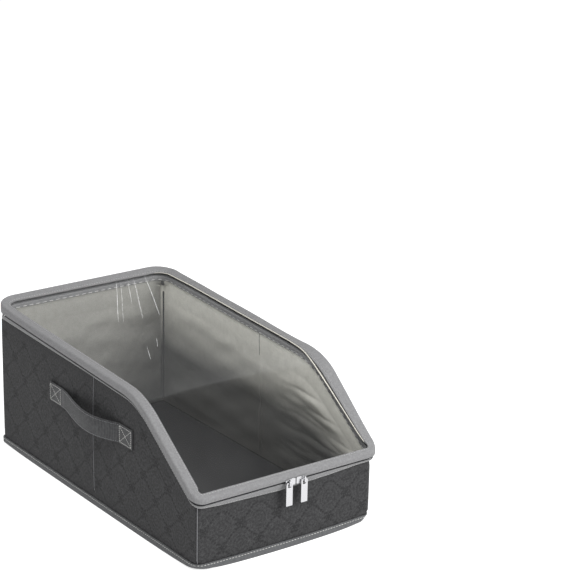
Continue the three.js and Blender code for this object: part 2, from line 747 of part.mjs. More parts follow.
// Slider: a front plate with its bridge, a neck through the slit, and a back plate.
// toNose is +1 where the slider's meeting end lies at +x.
function buildSlider(name, pullX, toNose) {
  const front = -(halfDepth + skirtOutside + clearance);
  const plateFace = front - sliderFrontPlate;
  const back = -(halfDepth + tapeAtZip - clearance - coilThickness - clearance);
  const nose = pullX + toNose * sliderNoseFromPull;
  const tail = nose - toNose * sliderLength;
  const [low, high] = [Math.min(nose, tail), Math.max(nose, tail)];
  const halfHeight = sliderHeight / 2;
  const tailHalf = halfHeight * 0.7;
  const corner = sliderHeight / 5;

  const plate = new THREE.Shape();
  plate.moveTo(tail, -tailHalf);
  plate.lineTo(nose - toNose * sliderLength * 0.45, -halfHeight);
  plate.lineTo(nose - toNose * corner, -halfHeight);
  plate.quadraticCurveTo(nose, -halfHeight, nose, -halfHeight + corner);
  plate.lineTo(nose, halfHeight - corner);
  plate.quadraticCurveTo(nose, halfHeight, nose - toNose * corner, halfHeight);
  plate.lineTo(nose - toNose * sliderLength * 0.45, halfHeight);
  plate.lineTo(tail, tailHalf);
  plate.closePath();
  const options = { depth: sliderFrontPlate, bevelEnabled: false, curveSegments: 3 };
  const frontPlate = new THREE.ExtrudeGeometry(plate, options);
  frontPlate.rotateX(Math.PI / 2);
  frontPlate.translate(0, front, frontHeight);

  const backPlate = block(
    [low + 1, back, frontHeight - coilHalfHeight],
    [high - 1, back + sliderBackPlate, frontHeight + coilHalfHeight],
  );
  const neck = block(
    [pullX - sliderNeckLength / 2, plateFace + sliderFrontPlate / 2, frontHeight - sliderNeckHeight / 2],
    [pullX + sliderNeckLength / 2, back + sliderBackPlate / 2, frontHeight + sliderNeckHeight / 2],
  );
  const axle = plateFace - axleFromPlate;
  const bridgeFace = axle - bridgeClearance - bridgeBar;
  const bridgeHalf = bridgeInnerHalfHeight + bridgeBar;
  const bridgeBlock = block(
    [pullX - bridgeWidth / 2, bridgeFace, frontHeight - bridgeHalf],
    [pullX + bridgeWidth / 2, plateFace + sliderFrontPlate / 2, frontHeight + bridgeHalf],
  );
  const bridgeHole = block(
    [pullX - bridgeWidth, bridgeFace + bridgeBar, frontHeight - bridgeInnerHalfHeight],
    [pullX + bridgeWidth, plateFace, frontHeight + bridgeInnerHalfHeight],
  );
  const body = asManifold(frontPlate)
    .add(asManifold(bridgeBlock).subtract(asManifold(bridgeHole)))
    .add(asManifold(neck))
    .add(asManifold(backPlate));
  addPiece(name, asGeometry(body), zipMetal);
  return axle;
}

// Pull: a flat tab with an eye, whose top bar turns under the slider's bridge.
function buildPull(name, pullX, axleY) {
  const half = pullWidth / 2;
  const top = pullThickness / 2;
  const bottom = top - pullLength;
  const shoulder = half * 0.55;
  const shape = new THREE.Shape();
  shape.moveTo(-half + pullCornerRadius, bottom);
  shape.lineTo(half - pullCornerRadius, bottom);
  shape.quadraticCurveTo(half, bottom, half, bottom + pullCornerRadius);
  shape.lineTo(half, top - shoulder);
  shape.quadraticCurveTo(half, top, half - shoulder, top);
  shape.lineTo(-half + shoulder, top);
  shape.quadraticCurveTo(-half, top, -half, top - shoulder);
  shape.lineTo(-half, bottom + pullCornerRadius);
  shape.quadraticCurveTo(-half, bottom, -half + pullCornerRadius, bottom);
  const eye = new THREE.Path();
  const eyeHalf = pullEyeWidth / 2;
  const eyeTop = top - pullThickness;
  const eyeBottom = eyeTop - pullEyeLength;
  const eyeCorner = eyeHalf / 2;
  eye.moveTo(-eyeHalf, eyeTop);
  eye.lineTo(eyeHalf, eyeTop);
  eye.lineTo(eyeHalf, eyeBottom + eyeCorner);
  eye.quadraticCurveTo(eyeHalf, eyeBottom, eyeHalf - eyeCorner, eyeBottom);
  eye.lineTo(-eyeHalf + eyeCorner, eyeBottom);
  eye.quadraticCurveTo(-eyeHalf, eyeBottom, -eyeHalf, eyeBottom + eyeCorner);
  eye.closePath();
  shape.holes.push(eye);
  const options = { depth: pullThickness, bevelEnabled: false, curveSegments: 3 };
  const tab = new THREE.ExtrudeGeometry(shape, options);
  tab.rotateX(Math.PI / 2);
  tab.translate(0, pullThickness / 2, 0);
  const mesh = addPiece(name, asGeometry(asManifold(tab)), zipMetal);
  mesh.position.set(pullX, axleY, frontHeight);
}

function buildSlidersAndPulls() {
  for (const [side, toNose] of [["left", 1], ["right", -1]]) {
    const pullX = slidersMeetAt - (toNose * pullSpacing) / 2;
    const axleY = buildSlider(`slider_${side}`, pullX, toNose);
    buildPull(`pull_${side}`, pullX, axleY);
  }
}

// Handle: a strap sewn flat at both ends, standing off the wall between them.
function buildHandle(name, side) {
  const steps = 22;
  const start = handleFromFront - halfDepth;
  const patch = handlePatchLength / handleLength;
  const face = (y, z) => {
    const wallHeight = zipSurface(y).z - floorTop;
    const along = (y + halfDepth) / bodyDepth;
    return halfWidth + bowAt("right", wallRow(Math.min(1, (z - floorTop) / wallHeight)), along);
  };
  const strapAt = (share) => {
    const free = Math.min(1, Math.max(0, (share - patch) / (1 - 2 * patch)));
    const out = Math.sin(Math.PI * free ** (Math.log(0.5) / Math.log(handleBowPeak))) ** handleBowEase;
    const y = start + share * handleLength;
    const z = handleMiddleHeight - handleDrop * out;
    return { y, z, x: face(y, handleMiddleHeight) + clearance + handleThickness / 2 + handleBow * out };
  };
  const sections = Array.from({ length: steps + 1 }, (_, i) => {
    const share = i / steps;
    const here = strapAt(share);
    const before = strapAt(Math.max(0, share - 0.01));
    const after = strapAt(Math.min(1, share + 0.01));
    const turn = new THREE.Vector2(after.y - before.y, before.x - after.x).normalize();
    const corners = [[1, -1], [1, 1], [-1, 1], [-1, -1]];
    const points = corners.map(([t, w]) => new THREE.Vector3(
      side * (here.x + (t * turn.x * handleThickness) / 2),
      here.y + (t * turn.y * handleThickness) / 2,
      here.z + (w * handleWidth) / 2,
    ));
    return { points, flat: corners.map(([t, w]) => [t, w]) };
  });
  addPiece(name, carried(sections, false), webbing);
}

buildBase();
buildWalls();
buildLining();
buildRimBinding();
buildZipTapes();
buildCoil();
buildFilm();
buildLidBinding();
buildSlidersAndPulls();
buildHandle("handle_left", -1);
buildHandle("handle_right", 1);

export default case_;
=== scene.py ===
# A zipped storage case for baseball caps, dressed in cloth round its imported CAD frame.
# Sizes are in millimetres until a mesh is made. The frame is the CAD's: +Z up, and the low
# front faces -Y. A lap round the case goes along the front, the right, the back and the left.

import math

import bmesh
import bpy
import numpy as np
from mathutils import Matrix, Vector


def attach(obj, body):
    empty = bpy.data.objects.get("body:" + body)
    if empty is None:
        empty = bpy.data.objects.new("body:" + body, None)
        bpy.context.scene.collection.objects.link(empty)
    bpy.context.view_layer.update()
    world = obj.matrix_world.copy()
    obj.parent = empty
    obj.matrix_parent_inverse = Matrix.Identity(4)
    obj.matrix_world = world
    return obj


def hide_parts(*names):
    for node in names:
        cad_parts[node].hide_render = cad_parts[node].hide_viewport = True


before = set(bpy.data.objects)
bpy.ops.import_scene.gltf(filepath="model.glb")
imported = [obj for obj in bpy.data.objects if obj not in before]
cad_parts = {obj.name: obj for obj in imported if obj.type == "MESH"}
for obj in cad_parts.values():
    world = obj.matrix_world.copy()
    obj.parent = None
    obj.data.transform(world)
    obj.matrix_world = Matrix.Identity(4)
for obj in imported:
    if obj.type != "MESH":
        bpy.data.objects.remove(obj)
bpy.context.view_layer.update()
print("frame loaded with", len(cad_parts), "solids")

mm = 0.001
case = {
    "width": 240.0,
    "depth": 436.0,
    "frontHeight": 81.7,  # floor to the zip line
    "bendHeight": 162.3,
    "backHeight": 176.6,
    "bendFromFront": 114.0,
    "bendRadius": 90.0,
    "foldFromFront": 214.0,  # the upright fold line in each side
    "floorTop": 2.8,
    "rimFrontCorner": 6.5,
    "rimBackCorner": 22.0,
}
halfWidth = case["width"] / 2
halfDepth = case["depth"] / 2
foldY = case["foldFromFront"] - halfDepth
foldShare = case["foldFromFront"] / case["depth"]


def zipLine(y):
    # height and steepness of the zip line: two straight slopes, and a parabola that touches both
    low = (case["bendHeight"] - case["frontHeight"]) / case["bendFromFront"]
    high = (case["backHeight"] - case["bendHeight"]) / (case["depth"] - case["bendFromFront"])
    fromBend = y - (case["bendFromFront"] - halfDepth)
    reach = case["bendRadius"] * math.tan((math.atan(low) - math.atan(high)) / 2)
    share = np.clip((fromBend + reach) / (2 * reach), 0, 1)
    slope = low + (high - low) * share
    curve = -low * reach + reach * share * (low + slope)
    z = np.where(share <= 0, low * fromBend, np.where(share >= 1, high * fromBend, curve))
    return case["bendHeight"] + z, slope


def lap(step, cornerSteps, sides=(0, 1, 2, 3), halves=False):
    # stations round the case: each straight in equal steps, then a quarter turn in equal angles;
    # with halves, one wall alone, from the middle of the corner before it to the next middle
    spans = []
    for side in sides:
        length = case["width"] if side % 2 == 0 else case["depth"]
        straight = np.linspace(0, 1, int(length / step) + 1)
        corner = np.linspace(0, 1, cornerSteps + 1)[1:-1]
        if halves:
            half = corner[: len(corner) // 2 + 1]
            spans.append(((side - 1) % 4, half + 0.5 - half[0], True))
            spans.append((side, straight, False))
            spans.append((side, half[half <= 0.5], True))
        else:
            spans.append((side, straight, False))
            spans.append((side, corner, True))
    return {
        "side": np.concatenate([np.full(len(s), i) for i, s, t in spans]),
        "share": np.concatenate([s for i, s, t in spans]),
        "turning": np.concatenate([np.full(len(s), t) for i, s, t in spans]),
    }


def outline(stations, halfX, halfY, front, back):
    # plan place and outward direction: straights stop a corner radius short of the box's corners,
    # and each corner is a quarter circle about its own centre
    side, share, turning = stations["side"], stations["share"], stations["turning"]
    angle = (side - 1 + share) * math.pi / 2
    atFront = (side == 0) | (side == 3)
    radius = np.where(atFront, front, back)
    cornerX = np.where(side < 2, 1, -1) * (halfX - radius) + radius * np.cos(angle)
    cornerY = np.where(atFront, -1, 1) * (halfY - radius) + radius * np.sin(angle)
    acrossFront = (2 * share - 1) * (halfX - front)
    acrossBack = (1 - 2 * share) * (halfX - back)
    low, high = front - halfY, halfY - back
    pick = [side == 0, side == 1, side == 2, side == 3]
    still = 0 * share
    straightX = np.select(pick, [acrossFront, halfX + still, acrossBack, -halfX + still])
    alongSide = share * (high - low)
    straightY = np.select(pick, [-halfY + still, low + alongSide, halfY + still, high - alongSide])
    normalX = np.where(turning, np.cos(angle), np.array([0, 1, 0, -1])[side])
    normalY = np.where(turning, np.sin(angle), np.array([-1, 0, 1, 0])[side])
    return (
        np.where(turning, cornerX, straightX),
        np.where(turning, cornerY, straightY),
        normalX + 0 * straightX,
        normalY + 0 * straightX,
    )


def zipFrame(stations, front=case["rimFrontCorner"], back=case["rimBackCorner"]):
    # the zip line at each station; up is plumb, and 1 of it is 1 mm square to the line
    x, y, nx, ny = outline(stations, halfWidth, halfDepth, front, back)
    z, slope = zipLine(y)
    steep = np.sqrt(1 + slope**2)
    up = np.sqrt(1 + (slope * nx) ** 2)
    return {
        "origin": np.stack([x, y, z], -1),
        "out": np.stack([nx, ny, 0 * x], -1),
        "up": up,
        "sin": -slope * ny / steep,
        "cos": up / steep,
        "y": y,
        "nx": nx,
        "ny": ny,
    }


def zipPoints(zips, u, v):
    # u is level, outwards from the zip line, and v is up
    place = zips["origin"][:, None] + zips["out"][:, None] * u[..., None]
    place[..., 2] += zips["up"][:, None] * v
    return place


def sheetV(zips, u, offset):
    # v at u on a sheet that lies a fixed distance above the zip line's own surface
    return (offset - u * zips["sin"]) / zips["cos"]


def softened(corners, radii, steps=3):
    # each corner of a section becomes a short parabola that leaves and meets its two edges;
    # corners is (stations, corners, 2), and radii says how far along the edges it reaches
    before = np.roll(corners, 1, axis=1) - corners
    after = np.roll(corners, -1, axis=1) - corners
    lengthBefore = np.linalg.norm(before, axis=-1, keepdims=True)
    lengthAfter = np.linalg.norm(after, axis=-1, keepdims=True)
    reach = np.array(radii)[None, :, None]
    start = corners + before / lengthBefore * np.minimum(reach, 0.45 * lengthBefore)
    end = corners + after / lengthAfter * np.minimum(reach, 0.45 * lengthAfter)
    t = np.linspace(0, 1, steps + 1)[None, None, :, None]
    start, end, middle = start[:, :, None], end[:, :, None], corners[:, :, None]
    curve = start * (1 - t) ** 2 + 2 * middle * t * (1 - t) + end * t**2
    return curve.reshape(len(corners), -1, 2)


def waves(place, seed, longest, count=5):
    # a soft random rise and fall: sines of shorter and shorter waves in seeded directions
    rng = np.random.default_rng(seed)
    total = 0
    for i in range(count):
        heading = rng.normal(size=place.shape[-1])
        heading /= np.linalg.norm(heading)
        turns = 2 * math.pi * 1.55**i / longest
        total = total + np.sin(place @ heading * turns + rng.uniform(0, 6.28)) / 1.4**i
    return total / 2.6


def makeMesh(name, points, quads, material, uv=0, caps=()):
    # one mesh from whole arrays; uv holds the place of each corner of the quads, in millimetres
    faceCorners = np.concatenate([quads.ravel(), *[np.asarray(c) for c in caps]])
    capStarts = len(quads) * 4 + np.cumsum([0, *[len(c) for c in caps]])[:-1]
    starts = np.concatenate([np.arange(len(quads)) * 4, capStarts])
    mesh = bpy.data.meshes.new(name)
    mesh.vertices.add(len(points))
    mesh.vertices.foreach_set("co", (points * mm).astype(np.float32).ravel())
    mesh.loops.add(len(faceCorners))
    mesh.loops.foreach_set("vertex_index", faceCorners.astype(np.int32))
    mesh.polygons.add(len(starts))
    mesh.polygons.foreach_set("loop_start", starts.astype(np.int32))
    mesh.update(calc_edges=True)
    layer = mesh.uv_layers.new(name="cloth")
    flat = np.zeros((len(faceCorners), 2), np.float32)
    flat[: len(quads) * 4] = uv
    layer.data.foreach_set("uv", flat.ravel())
    mesh.materials.append(material)
    piece = bpy.data.objects.new(name, mesh)
    bpy.context.scene.collection.objects.link(piece)
    shell = bmesh.new()
    shell.from_mesh(mesh)
    bmesh.ops.remove_doubles(shell, verts=shell.verts, dist=1e-6)
    bmesh.ops.recalc_face_normals(shell, faces=shell.faces)
    shell.to_mesh(mesh)
    shell.free()
    mesh.polygons.foreach_set("use_smooth", np.ones(len(mesh.polygons), bool))
    mesh.set_sharp_from_angle(angle=math.radians(38))
    return piece


def sweptPiece(name, rings, closed, material, uv=None, poles=False):
    # a section carried along a path; rings is (stations, section points, 3), and an open run is
    # capped at both ends. With poles, the section runs from one pole to the other instead of
    # round. uv defaults to the distance along the path and round the section.
    count, sides = rings.shape[:2]
    step = np.linalg.norm(np.roll(rings.mean(1), -1, 0) - rings.mean(1), axis=-1)
    girth = np.linalg.norm(np.roll(rings, -1, 1) - rings, axis=-1).mean(0)
    run = np.concatenate([[0], np.cumsum(step)])
    around = np.concatenate([[0], np.cumsum(girth)])
    if uv is None:
        uv = np.stack(np.broadcast_arrays(run[:, None], around[None, :]), -1)
    i = np.arange(count if closed else count - 1)[:, None]
    k = np.arange(sides - 1 if poles else sides)[None, :]
    here, there = i * sides, (i + 1) % count * sides
    nextK = (k + 1) % sides
    quads = np.stack([here + k, there + k, there + nextK, here + nextK], -1).reshape(-1, 4)
    corners = np.stack([uv[i, k], uv[i + 1, k], uv[i + 1, k + 1], uv[i, k + 1]], -2)
    caps = () if closed else (np.arange(sides)[::-1], np.arange(sides) + (count - 1) * sides)
    return makeMesh(name, rings.reshape(-1, 3), quads, material, corners.reshape(-1, 2), caps)


def tube(middle, upward, sideways, sides=8):
    # rings round a line, given each ring's two half axes
    turn = np.arange(sides)[None, :, None] * 2 * math.pi / sides
    return middle[:, None] + upward[:, None] * np.cos(turn) + sideways[:, None] * np.sin(turn)


def tubeQuads(stations, sides):
    # the faces of one tube, with its ends open
    i, k = np.arange(stations - 1)[:, None], np.arange(sides)[None]
    after = (k + 1) % sides
    quads = [i * sides + k, (i + 1) * sides + k, (i + 1) * sides + after, i * sides + after]
    return np.stack(quads, -1).reshape(-1, 4)


def runLength(line):
    # the distance along a line of points, at each of them
    return np.concatenate([[0], np.cumsum(np.linalg.norm(np.diff(line, axis=0), axis=-1))])


def paint(piece, shares):
    # how far each vertex is darkened in the cloth's colour: by pressed lines on the walls, and by
    # painted shade on the lining
    attribute = piece.data.attributes.new("pressedAndShade", "FLOAT", "POINT")
    attribute.data.foreach_set("value", shares.astype(np.float32).ravel())


def dressed(piece, body, slotName, *nodes):
    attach(piece, body)
    if nodes:
        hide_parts(*nodes)
    return piece


def evenly(path, facing, pitch, closed=False):
    # places at equal distances along a line of points, with its heading and facing there
    line = np.concatenate([path, path[:1]]) if closed else path
    face = np.concatenate([facing, facing[:1]]) if closed else facing
    far = runLength(line)
    count = max(2, int(round(far[-1] / pitch)))
    at = (np.arange(count) + 0.5) / count * far[-1]

    def read(rows, where):
        return np.stack([np.interp(where, far, column) for column in rows.T], -1)

    heading = read(line, np.minimum(at + 0.5, far[-1])) - read(line, np.maximum(at - 0.5, 0))
    return read(line, at), heading, read(face, at)


def stitches(name, rows, size, material):
    # every stitch is a small bean: a six-sided tube, round at both ends, half sunk in the cloth;
    # rows is a list of (path, facing, closed)
    spots = [evenly(path, facing, size["pitch"], closed) for path, facing, closed in rows]
    place, heading, facing = [np.concatenate([s[i] for s in spots]) for i in range(3)]
    heading /= np.linalg.norm(heading, axis=-1, keepdims=True)
    across = np.cross(facing, heading)
    across /= np.linalg.norm(across, axis=-1, keepdims=True)
    facing = np.cross(heading, across)
    t = np.array([-1, -0.8, -0.35, 0.35, 0.8, 1])
    thick = np.array([0.15, 0.7, 1, 1, 0.7, 0.15])
    turn = np.arange(6) * math.pi / 3
    lengthwise = t[:, None] * size["length"] / 2 + 0 * turn
    sideways = thick[:, None] * np.cos(turn) * size["width"] / 2
    raised = thick[:, None] * np.sin(turn) * size["width"] / 2
    raised = raised + size["lift"] * (1 - t[:, None] ** 2)
    parts = (
        place[:, None, None]
        + heading[:, None, None] * lengthwise[..., None]
        + across[:, None, None] * sideways[..., None]
        + facing[:, None, None] * raised[..., None]
    )
    ends = np.array([[0, 5, 4, 3], [0, 3, 2, 1], [30, 31, 32, 33], [30, 33, 34, 35]])
    one = np.concatenate([tubeQuads(6, 6), ends])
    quads = (one[None] + 36 * np.arange(len(place))[:, None, None]).reshape(-1, 4)
    return makeMesh(name, parts.reshape(-1, 3), quads, material)


def hexColour(code):
    # an sRGB hex value as a linear colour
    value = np.array([int(code[i : i + 2], 16) / 255 for i in (1, 3, 5)])
    linear = np.where(value <= 0.04045, value / 12.92, ((value + 0.055) / 1.055) ** 2.4)
    return (*linear.tolist(), 1.0)


def feed(material, node, inputs):
    # gives a node's inputs their values, or links them to other nodes' outputs
    for key, value in inputs.items():
        if isinstance(value, bpy.types.NodeSocket):
            material.node_tree.links.new(value, node.inputs[key])
        else:
            node.inputs[key].default_value = value


def addNode(material, kind, inputs, output=0, stops=(), **settings):
    # adds one node with its settings and links, and gives back one of its outputs
    node = material.node_tree.nodes.new("ShaderNode" + kind)
    for key, value in settings.items():
        setattr(node, key, value)
    feed(material, node, inputs)
    for i, (position, colour) in enumerate(stops):
        node.color_ramp.elements[i].position = position
        node.color_ramp.elements[i].color = hexColour(colour)
    return node.outputs[output]


def newMaterial(name, values):
    # a material, its shader, and places on its object in millimetres
    material = bpy.data.materials.new(name)
    material.use_nodes = True
    shader = material.node_tree.nodes["Principled BSDF"]
    feed(material, shader, values)
    place = addNode(material, "TexCoord", {}, "Object")
    place = addNode(material, "VectorMath", {0: place, "Scale": 1000.0}, operation="SCALE")
    return material, shader, place


def lumps(place, size, detail=3.0, rough=0.55):
    # inputs of a noise whose lumps are about this many millimetres across
    return {"Vector": place, "Scale": 1 / size, "Detail": detail, "Roughness": rough}


def nonWovenCloth(name, shades, size, pressedAndShade=None):
    # non-woven polypropylene over board: fibres pressed flat and welded, matt, a little mottled
    material, shader, place = newMaterial(name, {
        "Roughness": 0.88,
        "Sheen Weight": 0.06,
        "Sheen Roughness": 0.5,
        "Specular IOR Level": 0.2,
    })
    mottle = addNode(material, "TexNoise", lumps(place, size["mottle"], 4))
    fibre = addNode(material, "TexNoise", lumps(place, size["fibre"], 2, 0.7))
    mixed = addNode(material, "Mix", {"Factor": 0.55, "A": mottle, "B": fibre}, "Result")
    stops = [(0.36, shades[0]), (0.64, shades[1])]
    colour = addNode(material, "ValToRGB", {"Fac": mixed}, stops=stops)
    if pressedAndShade:
        # darker where the mesh says so: along the walls' pressed lines, and in the lining's
        # painted shade
        share = addNode(material, "Attribute", {}, "Fac", attribute_name="pressedAndShade")
        share = addNode(material, "Math", {0: share, 1: pressedAndShade["dark"]}, operation="MULTIPLY")
        shaded = {"Factor": share, "A": colour, "B": hexColour(pressedAndShade["colour"])}
        colour = addNode(material, "Mix", shaded, "Result", data_type="RGBA")
    bump = {"Height": fibre, "Strength": size["bump"], "Distance": 0.0004}
    feed(material, shader, {"Base Color": colour, "Normal": addNode(material, "Bump", bump)})
    return material


def wovenTape(name, shades, weave):
    # polyester grosgrain: fine ribs run across the tape, crossed by finer warp threads
    material, shader, place = newMaterial(name, {
        "Roughness": weave["rough"],
        "Sheen Weight": 0.15,
        "Sheen Roughness": 0.4,
        "Specular IOR Level": 0.35,
    })
    uv = addNode(material, "UVMap", {}, uv_map="cloth")
    split = addNode(material, "SeparateXYZ", {"Vector": uv}).node.outputs
    threads = []
    for distance, pitch in ((split["X"], weave["rib"]), (split["Y"], weave["warp"])):
        turns = {0: distance, 1: 6.283 / pitch}
        turns = addNode(material, "Math", turns, operation="MULTIPLY")
        threads.append(addNode(material, "Math", {0: turns}, operation="SINE"))
    height = {"Factor": 0.4, "A": threads[0], "B": threads[1]}
    height = addNode(material, "Mix", height, "Result")
    worn = addNode(material, "TexNoise", lumps(place, weave["mottle"], 4))
    fine = addNode(material, "TexNoise", lumps(place, 0.9, 2, 0.6))
    mixed = addNode(material, "Mix", {"Factor": 0.4, "A": worn, "B": fine}, "Result")
    shown = {0: height, 1: weave["show"], 2: mixed}
    shown = addNode(material, "Math", shown, operation="MULTIPLY_ADD")
    stops = [(0.34, shades[0]), (0.66, shades[1])]
    colour = addNode(material, "ValToRGB", {"Fac": shown}, stops=stops)
    rough = addNode(material, "Math", {0: height, 1: fine}, operation="ADD")
    bump = {"Height": rough, "Strength": weave["bump"], "Distance": 0.0002}
    feed(material, shader, {"Base Color": colour, "Normal": addNode(material, "Bump", bump)})
    return material


def toned(name, values, size, stops, detail=3.0):
    # an even material whose colour wanders between two shades
    material, shader, place = newMaterial(name, values)
    tone = addNode(material, "TexNoise", lumps(place, size, detail))
    colour = addNode(material, "ValToRGB", {"Fac": tone}, stops=stops)
    feed(material, shader, {"Base Color": colour})
    return material


def thread(name, dark, light):
    # spun polyester thread: a soft shine and a slight twist
    values = {"Roughness": 0.7, "Sheen Weight": 0.2}
    return toned(name, values, 0.5, [(0.3, dark), (0.7, light)], 1)


def platedZinc():
    # die-cast zinc, bright nickel plated: a clear mirror with faint polishing scratches
    material, shader, place = newMaterial("plated zinc", {
        "Metallic": 1.0,
        "Base Color": hexColour("#bcbcbe"),
    })
    stretched = addNode(material, "Mapping", {"Vector": place, "Scale": (3.0, 3.0, 0.25)})
    scratch = addNode(material, "TexNoise", lumps(stretched, 0.4, 3))
    rough = addNode(material, "MapRange", {"Value": scratch, "To Min": 0.2, "To Max": 0.36})
    bump = {"Height": scratch, "Strength": 0.04, "Distance": 0.0001}
    feed(material, shader, {"Roughness": rough, "Normal": addNode(material, "Bump", bump)})
    return material


def clearVinyl():
    # calendered soft PVC film: clear and glossy, with the faintest cloudiness
    material, shader, place = newMaterial("clear vinyl film", {
        "Roughness": 0.08,
        "IOR": 1.45,
        "Specular IOR Level": 0.25,
        "Base Color": hexColour("#f1f3f4"),
    })
    edge = addNode(material, "Fresnel", {"IOR": 1.3})
    cloud = addNode(material, "TexNoise", lumps(place, 40.0))
    haze = addNode(material, "MapRange", {"Value": cloud, "To Min": 0.0, "To Max": 0.008})
    alpha = addNode(material, "Math", {0: edge, 1: 0.03, 2: haze}, operation="MULTIPLY_ADD")
    ripple = addNode(material, "TexNoise", lumps(place, 22.0, 2))
    bump = {"Height": ripple, "Strength": 0.1, "Distance": 0.002}
    feed(material, shader, {"Alpha": alpha, "Normal": addNode(material, "Bump", bump)})
    return material


def glintedVinyl():
    # the same film along its creases, painted milky and half see-through: a painted glint where
    # the creases catch the light
    material, shader, place = newMaterial("vinyl with painted crease glints", {
        "Roughness": 0.35,
        "IOR": 1.45,
        "Base Color": hexColour("#f4f5f5"),
    })
    patchy = addNode(material, "TexNoise", lumps(place, 14.0, 2))
    alpha = addNode(material, "MapRange", {"Value": patchy, "To Min": 0.0, "To Max": 0.6})
    feed(material, shader, {"Alpha": alpha})
    return material


outerCloth = nonWovenCloth(
    "embossed non-woven cloth",
    ("#232324", "#3f3f40"),
    {"mottle": 3.0, "fibre": 1.2, "bump": 0.5},
    {"dark": 0.85, "colour": "#131314"},
)
baseCloth = nonWovenCloth(
    "plain non-woven cloth",
    ("#2f3032", "#3c3d3f"),
    {"mottle": 3.0, "fibre": 1.2, "bump": 0.4},
)
# the lining is pale, and painted shade darkens it by the mesh's share
liningCloth = nonWovenCloth(
    "silver-grey lining cloth",
    ("#dcdbd2", "#eeede4"),
    {"mottle": 8.0, "fibre": 1.4, "bump": 0.3},
    {"dark": 1.0, "colour": "#2a2a2b"},
)
# the ribs and the warp are drawn coarser than they are, so that they show
grosgrain = {"rib": 1.5, "warp": 1.1, "mottle": 2.5, "show": 0.1, "bump": 0.5, "rough": 0.85}
webbing = {"rib": 2.3, "warp": 1.5, "mottle": 4.0, "show": 0.16, "bump": 0.8, "rough": 0.75}
rimTapeFinish = wovenTape("grey grosgrain tape", ("#6b6b6c", "#7e7e7f"), grosgrain)
footTapeFinish = wovenTape("dark grosgrain tape", ("#47484a", "#5a5b5c"), grosgrain)
webbingFinish = wovenTape("ribbed webbing", ("#2e2e30", "#48494a"), webbing)
lightThread = thread("pale polyester thread", "#9c9c99", "#c4c4c1")
greyThread = thread("grey polyester thread", "#8b8b8a", "#a5a5a3")
# pale, as a painted glint where the film's edge catches the light
paleEdgeGlint = thread("film edge with painted glint", "#b5b2a8", "#d0cdc3")
# charcoal strips for painted shade: in the lining's corners and folds, and beside the film's edge
shadeTape = thread("charcoal tape for painted shade", "#1d1d1d", "#2c2c2c")
seamCord = thread("dark grey seam cord", "#6a6b6d", "#85868a")
# nylon monofilament, coiled and heat set: dark, with a waxy shine
nylonStops = [(0.3, "#202124"), (0.7, "#303236")]
nylonFinish = toned("coiled nylon", {"Roughness": 0.42, "IOR": 1.53}, 3.0, nylonStops)
zincFinish = platedZinc()
vinylFinish = clearVinyl()
creaseGlintFinish = glintedVinyl()
print("finishes made")


walls = {
    "thickness": 2.0,
    "frontBow": 3.0,
    "sideBow": 1.5,
    "top": 3.2,  # v of the top edge
    "grid": 1.3,  # size of the surface's squares
    "foldDepth": 0.5,
    "embossDepth": 0.3,
    "latticeWidth": 49.0,  # of the embossed diamonds
    "latticeHeight": 48.0,
    "dotPitch": 4.2,
    "lineWidth": 1.3,
    "flowerReach": 4.6,
    "ringPitch": 4.4,
    "ringReach": 13.0,
    "slack": 0.5,  # how far the cloth rises and falls on its board
    "sideRows": 140,  # of the surface's squares, up a side wall
    "endRows": 70,
    "topRows": 8,  # from the rim's foot up
    "seamSlit": 0.15,  # half the slit in a corner seam
}
foot = {
    "panel": 2.5,
    "gap": 0.3,
    "tape": 1.6,  # thickness
    "height": 9.3,
    "round": 1.2,
    "lift": 1.9,  # how far the corners curl up
    "curlWidth": 25.0,
    "cornerHigh": 10.0,  # radius of the front corners at the tape's top edge
    "cornerLow": 20.0,  # and at the floor
    "stitchDrop": 1.9,
    "ripple": 0.35,  # of the tape's top edge
}


def footCorner(z):
    # radius of the front corners near the floor, shrinking evenly with height
    return foot["cornerLow"] + (foot["cornerHigh"] - foot["cornerLow"]) * z / foot["height"]


# height is a share of the wall, corners are radii, and front and side are shares of the bows
wallTable = {
    "height": [0, 0.1, 0.17, 0.4, 0.7, 0.9, 1],
    "frontCorner": [footCorner(case["floorTop"]), foot["cornerHigh"], 5, 4.5, 4.5, 4.5, 4.5],
    "backCorner": [5, 5, 5, 4.5, 4.5, 4.5, 5],
    "front": [1, 1, 0.98, 0.85, 0.5, 0.15, 0],
    "side": [0.3, 0.45, 0.6, 1, 1, 0.4, 0],
}
# and near the rim, by v, where the corners turn into the zip line's wider ones
rimTable = {"v": [-12, -5], "frontCorner": [4.5, 6.5], "backCorner": [5, 22]}
rimKeys = ("frontCorner", "backCorner")


def fromTable(height, key):
    return np.interp(height, wallTable["height"], wallTable[key])


def wallCorner(height, v, key):
    atRim = np.interp(v, rimTable["v"], rimTable[key])
    return np.where(height < 1, fromTable(height, key), atRim)


def wallSurface(stations, height, v, depth):
    # (stations, rows, 3): the plan outline of each row, swollen by its bows, at a share of the
    # way from the floor seam up to v, which counts from the zip line
    column = {key: value[:, None] for key, value in stations.items()}
    front = wallCorner(height, v, "frontCorner")[None]
    back = wallCorner(height, v, "backCorner")[None]
    least = 0.5
    outer = outline(column, halfWidth, halfDepth, front, back)
    x, y, nx, ny = outline(
        column,
        halfWidth - depth,
        halfDepth - depth,
        np.maximum(front - depth, least),
        np.maximum(back - depth, least),
    )
    bow = np.where(
        column["side"] == 0,
        walls["frontBow"] * fromTable(height, "front"),
        walls["sideBow"] * fromTable(height, "side"),
    )
    swell = np.where(column["turning"], 0, bow * np.sin(math.pi * column["share"]))
    z = zipLine(outer[1])[0] + zipFrame(stations)["up"][:, None] * v[None]
    z = case["floorTop"] + height[None] * (z - case["floorTop"])
    return np.stack([x + nx * swell, y + ny * swell, z], -1), np.stack([nx, ny, 0 * nx], -1)


